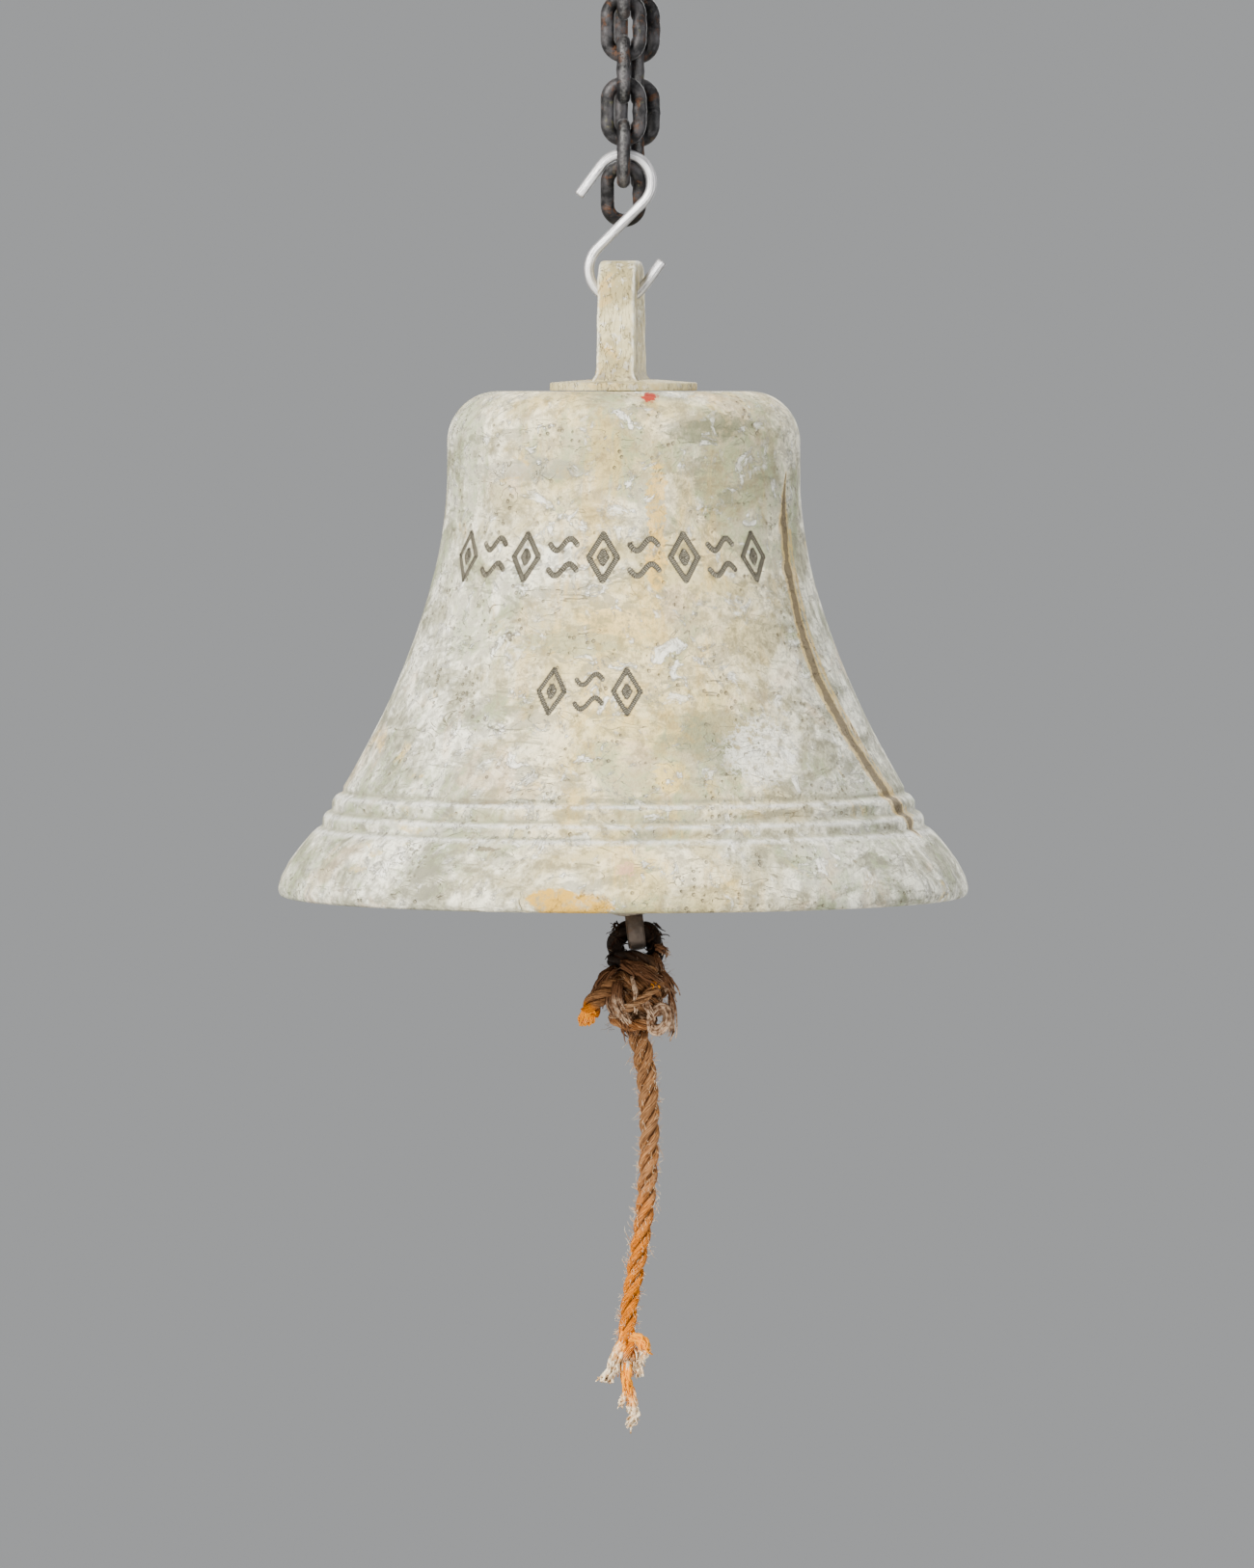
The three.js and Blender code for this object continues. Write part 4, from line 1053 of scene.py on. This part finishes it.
def engraving(around, height, strokes, half):
    """How deep a point is in the strokes, from 0 to 1, by its distance to the nearest of them, and
    how far along that stroke it is."""
    point = stacked(around, height)[..., None, :]
    start, way = strokes[:, 0], strokes[:, 1] - strokes[:, 0]
    size = np.linalg.norm(way, axis=-1)
    share = np.clip(((point - start) * way).sum(axis=-1) / size ** 2, 0, 1)
    away = np.linalg.norm(point - start - share[..., None] * way, axis=-1)
    nearest = away.argmin(axis=-1)[..., None]
    gap = np.take_along_axis(away, nearest, -1)[..., 0]
    run = np.take_along_axis(share * size + np.arange(len(size)) * 1.7, nearest, -1)[..., 0]
    return np.clip((half + 0.3 - gap) / 0.6, 0, 1), run


def shell_surface():
    """The bell's profile turned about Z in unequal steps, close together over the engraved front.
    The outside is pressed in by the engraving and waves by a tenth or two of a millimetre."""
    profile, outside = shell_profile()
    front, side, back = np.arange(-68, 56, 0.5), np.arange(56, 77, 0.9), np.arange(77, 290.5, 3.0)
    angles = np.radians(np.concatenate([front, side, back]))
    radius = np.repeat(profile[:, :1], len(angles), axis=1)
    height = np.repeat(profile[:, 1:], len(angles), axis=1)
    row = np.arange(len(profile))[:, None]
    outer = np.repeat((row < outside) & (profile[:, :1] > 60), len(angles), axis=1)
    cut, tick = np.zeros_like(radius), np.zeros_like(radius)
    for left, right, level, tall, wide, count, half in (
            (math.radians(-61.0), math.radians(48.5), 148.8, 20.0, 12.4, 9, 1.15),
            (math.radians(-21.4), math.radians(4.2), 92.0, 18.6, 11.6, 3, 0.95)):
        mean = float(waist_radius(level))
        strokes = band_of_figures(left * mean, right * mean, level, wide, tall, count)
        beside = (angles > left - 0.06) & (angles < right + 0.06)
        near = outer & (np.abs(height - level) < tall / 2 + 3) & beside
        cut[near], tick[near] = engraving((np.broadcast_to(angles, radius.shape) * mean)[near],
                                          height[near], strokes, half)
    cast = (0.10 * np.sin(3 * angles + 0.045 * height) + 0.08 * np.sin(8 * angles - 0.11 * height + 1.3)
            + 0.06 * np.sin(17 * angles + 0.19 * height + 2.1))
    radius = radius + outer * cast - ENGRAVED * cut
    places = about_axis(radius, angles, height + LIP)
    marks = {
        "cut": cut,
        "tick": tick,
        "inside": np.repeat((row >= outside) * 1.0, len(angles), axis=1),
        "crease": outer * sum(np.exp(-((height - level) / 0.95) ** 2) for level in (46.0, 37.4, 30.3)),
        "ridge": outer * sum(np.exp(-((height - level) / 0.9) ** 2) for level in (43.6, 35.4, 29.2)),
    }
    bends = smooth([(-190, 67.0, 0), (-161, 62.4, 0), (-130, 59.6, 0), (-96, 59.6, 0), (-68, 63.6, 0),
                    (-34, 71.0, 0)], 80)
    line = np.radians(np.interp(-height, bends[:, 0], bends[:, 1]))
    broad = np.interp(-height, [-186, -164, -96, -40, -26], [0.0, 2.4, 3.4, 4.6, 0.0]) + 1e-6
    seam = np.exp(-(((angles - line - 0.075) * radius / 1.3) ** 2)) * (np.abs(height - 98) < 62)
    main = np.exp(-(((angles - line) * radius / broad / 1.25) ** 2)) * (broad > 0.01)
    marks["streak"] = outer * np.maximum(main, 0.56 * seam)
    return grid(places, loop=True, **marks)


piece("bell_shell_cast", "bell", [shell_surface()], patina_finish(), ["bell_shell"])


def lug_surface():
    """The lug: at each angle about its hole, rows run from the rounded rim in over one face, through
    the hole and out over the other face to the rim. Below, it spreads into the flange by a fillet."""
    count = 220
    angle = circle(count)
    way = stacked(np.cos(angle), np.sin(angle))
    corner = np.linspace(0, TAU / 4, 24)
    half_top, half_base, crest, foot = 17.0, 20.2, LUG_CREST - LUG_HOLE, LUG_FOOT - LUG_HOLE
    right = stacked(half_top - 12 + 12 * np.cos(corner), crest - 12 + 12 * np.sin(corner))
    outline = np.concatenate([[(half_base, foot)], right, right[::-1] * (-1, 1), [(-half_base, foot)]])
    outline = np.concatenate([outline, np.linspace((-half_base, foot), (half_base, foot), 30)[1:-1]])
    start, end = outline, np.roll(outline, -1, axis=0)
    side = end - start
    cross = way[:, None, 0] * side[None, :, 1] - way[:, None, 1] * side[None, :, 0]
    cross = np.where(np.abs(cross) < 1e-9, 1e-9, cross)
    reach = (start[:, 0] * side[:, 1] - start[:, 1] * side[:, 0]) / cross
    share = (start[:, 0] * way[:, None, 1] - start[:, 1] * way[:, None, 0]) / cross
    hit = (share >= -1e-6) & (share <= 1 + 1e-6) & (reach > 0)
    edge = np.where(hit, reach, 1e9).min(axis=1)
    rows, rub = [], []
    half, rim, hole_rim, bore = 8.15, 2.3, 9.0, 6.4
    # Bright on the rim's rounded edges all round: a painted highlight.
    for inset, x, shine in ((0.0, 6.6, 0.0), (0.08, 7.2, 0.5), (0.35, 7.8, 1.0), (1.0, 8.1, 0.9),
                            (rim, half, 0.1)):
        rows.append(np.concatenate([np.full((count, 1), x), way * (edge - inset)[:, None]], axis=1))
        rub.append(shine)
    for share_out in (0.8, 0.6, 0.4, 0.2, 0.08):
        face = hole_rim + share_out * (edge - rim - hole_rim)
        rows.append(np.concatenate([np.full((count, 1), half), way * face[:, None]], axis=1))
        rub.append(0.0)
    # Bright at the hole's edge and inside it: wear where the hook bears, with a painted highlight at the
    # edge.
    for radius, x, shine in ((hole_rim, half, 0.0), (8.3, 8.0, 0.5), (6.9, 6.7, 0.9), (bore, 5.6, 0.7),
                             (bore, 2.5, 0.4), (bore, 0.0, 0.4)):
        rows.append(np.concatenate([np.full((count, 1), x), way * radius], axis=1))
        rub.append(shine)
    front = np.array(rows)
    back = front[:-1][::-1] * (-1, 1, 1)
    points = np.concatenate([front, back])
    shine = np.repeat(np.array(rub + rub[:-1][::-1])[:, None], count, axis=1)
    height = points[..., 2] + LUG_HOLE
    fillet = 3.6 * np.clip((228.5 - height) / 6.0, 0, 1) ** 2.4
    points[..., 0] += np.sign(points[..., 0]) * fillet * (np.abs(points[..., 0]) > 3)
    points[..., 1] += np.clip(points[..., 1] / 18, -1, 1) * fillet * 0.8
    points[..., 2] = height
    wobble = 0.16 * np.sin(points[..., 1] * 0.55 + 1) * np.sin(height * 0.37) * np.sign(points[..., 0])
    points[..., 0] += wobble
    # Darker towards the lug's foot, inside its hole, and down a band on its right face near the front.
    dirt = (np.clip((234 - height) / 9, 0, 1) + 0.25 * np.clip(1 - np.abs(points[..., 0]) / 10, 0, 1)
            + 1.3 * np.exp(-((points[..., 1] + 9.5) / 3.6) ** 2) * (points[..., 0] > 7.3))
    surface = grid(points, loop=True, rub=shine, dirt=np.clip(dirt, 0, 1))
    return moved(moved(surface, turn=about_z(-8)), (-1.0, 0, LIP))


def flange_surface():
    """The lug's round foot: flat below, a short rim, and a low dome above."""
    profile = softened([(3, 220.0), (31.7, 220.0), (32.0, 220.3), (32.0, 223.0), (31.6, 223.5), (16, 224.7),
                        (4, 225.1)], 0.4, 4)
    # Darker towards the flange's outer rim.
    dirt = np.repeat(np.clip((profile[:, 0] - 12) / 40, 0.1, 0.5)[:, None], 120, axis=1)
    return turned_over_lip(profile, 120, dirt=dirt)


def stem_surface():
    """The threaded stem: a cylinder whose radius rises and falls once in each pitch, shifted by one
    pitch in each full turn."""
    height = np.arange(STEM_BOTTOM, 222, 0.3)
    angles = circle(40)
    radius = 7.75 + 0.3 * np.sin(TAU * height[:, None] / THREAD_PITCH - angles)
    radius[0], radius[-1] = 6.9, 7.7
    return grid(about_axis(radius, angles, height[:, None] + LIP), dirt=np.full(radius.shape, 0.8))


crown = crown_finish()
piece("crown_lug_cast", "bell", [lug_surface(), flange_surface(), stem_surface()], crown,
      ["crown_lug"])


def washer_surface():
    """A flat ring with its edges broken."""
    ring = [(STEM_HOLE, 209.2), (8.7, 208.75), (16.4, 208.7), (16.95, 209.2), (16.95, 210.7),
            (16.4, 211.15), (8.7, 211.15), (STEM_HOLE, 210.7)]
    return turned_over_lip(ring, 96, loop=True, dirt=np.full((len(ring), 96), 0.6))


def nut_surface():
    """A hexagon with both ends turned to a cone: the radius is the hexagon's at each angle, or the
    cone's where that is less."""
    sides, half_width = 144, 12.0
    angles = circle(sides)
    hexagon = half_width / np.cos((angles + TAU / 12) % (TAU / 6) - TAU / 12)
    cone = ((STEM_HOLE, 196.3), (9.0, 195.6), (11.4, 195.4), (12.6, 196.0), (14.2, 197.2), (14.2, 206.6),
            (12.6, 207.8), (11.4, 208.4), (9.0, 208.2), (STEM_HOLE, 207.5))
    rows = [about_axis(np.minimum(hexagon, radius), angles, height + LIP) for radius, height in cone]
    everywhere = np.ones((len(cone), sides))
    return grid(np.array(rows), loop=True, dirt=0.75 * everywhere, rub=0.2 * everywhere)


piece("crown_washer_turned", "bell", [washer_surface()], crown, ["crown_washer"])
piece("crown_nut_hexagon", "bell", [nut_surface()], crown, ["crown_nut"])


# ---------------------------------------------------------------- clapper

iron = iron_finish()


def round_ring(wire, height, plane, rub_from):
    """A round bar bent to a ring in the XZ or YZ plane, worn bright where its partner bears."""
    angle = circle(72)
    wide, tall = RING_BEND * np.cos(angle), RING_BEND * np.sin(angle)
    columns = (wide, 0.0, tall) if plane == "xz" else (0.0, wide, tall)
    rub = np.clip(rub_from * np.sin(angle) * 1.6 - 0.7, 0, 1)
    return moved(tube(stacked(*columns), wire + 0.12 * np.sin(5 * angle)[:, None], 20,
                      (0, 1, 0) if plane == "xz" else (1, 0, 0), closed=True, rub=rub),
                 (0, 0, height + LIP))


def eye_surfaces():
    """The staple that carries the clapper: a ring under a collar on a shank."""
    collar = softened([(2, 190.1), (5.9, 190.1), (6.5, 190.7), (6.5, 192.5), (5.9, 193.1), (4.0, 193.2),
                       (4.0, 202.6), (3.4, 203.1), (1, 203.1)], 0.6, 4)
    weld = softened([(1, 186.6), (3.6, 187.2), (4.9, 188.6), (5.6, 190.2), (1, 190.4)], 1.2, 5)
    return [round_ring(3.5, 180.0, "yz", -1), turned_over_lip(collar, 48), turned_over_lip(weld, 48)]


def rod_surfaces():
    """The clapper's rod: ring, forged neck, a rod with shallow hammer flats, and the tail with its
    drilled round end."""
    t = np.linspace(0, 1, 120)
    rod_line = stacked(BALL_X * (1 - t), 0.0, LIP + BALL_HEIGHT + (ROD_TOP - BALL_HEIGHT) * t)
    angle = circle(28)
    flats = (0.16 * np.sin(4 * angle[None] + 3 * np.sin(14 * t)[:, None]) * np.sin(31 * t)[:, None]
             + 0.12 * np.sin(47 * t + 2)[:, None])
    neck = -1.4 * np.exp(-((t - 0.985) / 0.02) ** 2)[:, None]
    rod_bar = tube(rod_line, ROD_RADIUS + flats + neck, 28)
    ball_centre = np.array([BALL_X, 0.0, BALL_HEIGHT])
    tail_line = EYE + (ball_centre - EYE) * np.linspace(0.22, 1, 30)[:, None] + LIP_LEVEL
    tail = tube(tail_line, np.linspace(*TAIL_RADII, 30)[:, None], 28)
    half_disc = [(5.0, 3.2), (5.6, 3.9), (7.3, 3.9), (8.45, 3.0)]
    disc = softened([(radius, -x) for radius, x in half_disc] + [(8.75, 0)] + half_disc[::-1], 0.9, 4)
    lean = math.degrees(math.atan2(BALL_X - EYE[0], BALL_HEIGHT - EYE[2]))
    angles = circle(72)
    # Painted glint: the lower part of the round end's rim is marked to be painted bright.
    low = np.clip(np.cos(angles) * 2.2 - 1.35, 0, 1) * (disc[:, :1] > 6.5)
    eye = turned(disc, 72, loop=True, rub=low)
    to_side = [[0, 0, 1], [1, 0, 0], [0, 1, 0]]
    eye = moved(moved(moved(eye, turn=to_side), turn=about_y(lean)), EYE + LIP_LEVEL)
    return [round_ring(3.0, 170.8, "xz", 1), rod_bar, tail, eye]


def ball_surfaces():
    """The ball: a sphere with hammer dents and a worn belt where it strikes, and a weld bead round
    the rod."""
    polar = np.linspace(0.06, math.pi - 0.06, 64)[:, None]
    angle = circle(96)[None]
    dents = (0.22 * np.sin(5 * angle + 3 * polar) * np.sin(4 * polar + 1)
             + 0.14 * np.sin(11 * angle - 7 * polar + 2) * np.sin(polar)
             + 0.1 * np.sin(17 * polar + 3 * angle))
    radius = BALL_RADIUS + dents * np.sin(polar)
    points = stacked(BALL_X + radius * np.sin(polar) * np.cos(angle),
                     radius * np.sin(polar) * np.sin(angle), LIP + BALL_HEIGHT + radius * np.cos(polar))
    belt = np.exp(-((polar - 1.35) / 0.16) ** 2) * (0.35 + 0.65 * np.cos(angle) ** 2)
    turns = circle(60)
    bead = stacked(1.72 + 5.4 * np.cos(turns), 5.4 * np.sin(turns), LIP + 33.7)
    return [grid(points, rub=belt, limed=np.clip((-np.cos(polar) - 0.6) / 0.3, 0, 1) + 0 * angle),
            tube(bead, (1.5 + 0.2 * np.sin(turns * 15))[:, None], 12, (0, 0, 1), closed=True)]


piece("clapper_staple", "bell", eye_surfaces(), iron, ["clapper_eye"])
piece("clapper_rod_forged", "clapper", rod_surfaces(), iron, ["clapper_rod"])
piece("clapper_ball_forged", "clapper", ball_surfaces(), iron, ["clapper_ball"])


# ---------------------------------------------------------------- stage and light

def lamp(name, place, aim, size, power, colour):
    """A square soft light at a place, turned to face a point."""
    light = bpy.data.lights.new(name, "AREA")
    light.shape = "SQUARE"
    light.size, light.energy, light.color = size, power, colour
    made = bpy.data.objects.new(name, light)
    ahead = unit(np.array(aim, float) - np.array(place, float))
    yaw, pitch = math.atan2(-ahead[0], ahead[1]), math.acos(-ahead[2])
    made.location, made.rotation_euler = place, (pitch, 0.0, yaw)
    scene.collection.objects.link(made)


lamp("key", (-2.4, -3.0, 1.5), (0, 0, -0.3), 2.2, 480.0, (1.0, 0.98, 0.935))
lamp("fill", (3.2, -2.2, 0.3), (0, 0, -0.35), 2.6, 105.0, (0.97, 0.985, 1.0))
lamp("top", (0.3, 0.6, 2.6), (0, 0, -0.3), 2.0, 90.0, (1.0, 1.0, 1.0))
lamp("back", (0.5, 3.4, 0.4), (0, 0, -0.35), 2.4, 85.0, (1.0, 1.0, 1.0))
lamp("below", (-0.6, -1.6, -2.6), (0, 0, -0.4), 2.0, 40.0, (1.0, 0.99, 0.97))

world = bpy.data.worlds.new("pale_room")
world.use_nodes = True
sky = world.node_tree.nodes["Background"].inputs
sky["Color"].default_value = (0.60, 0.61, 0.62, 1.0)
sky["Strength"].default_value = 0.62
scene.world = world

FLOOR_HALF, FLOOR_LEVEL = 9, -5.5
floor_corners = [(x * FLOOR_HALF, y * FLOOR_HALF, FLOOR_LEVEL)
                 for x, y in ((-1, -1), (1, -1), (1, 1), (-1, 1))]
floor_mesh = bpy.data.meshes.new("floor")
floor_mesh.from_pydata(floor_corners, [], [(0, 1, 2, 3)])
floor_mesh.materials.append(stage_finish())
floor = bpy.data.objects.new("floor", floor_mesh)
scene.collection.objects.link(floor)
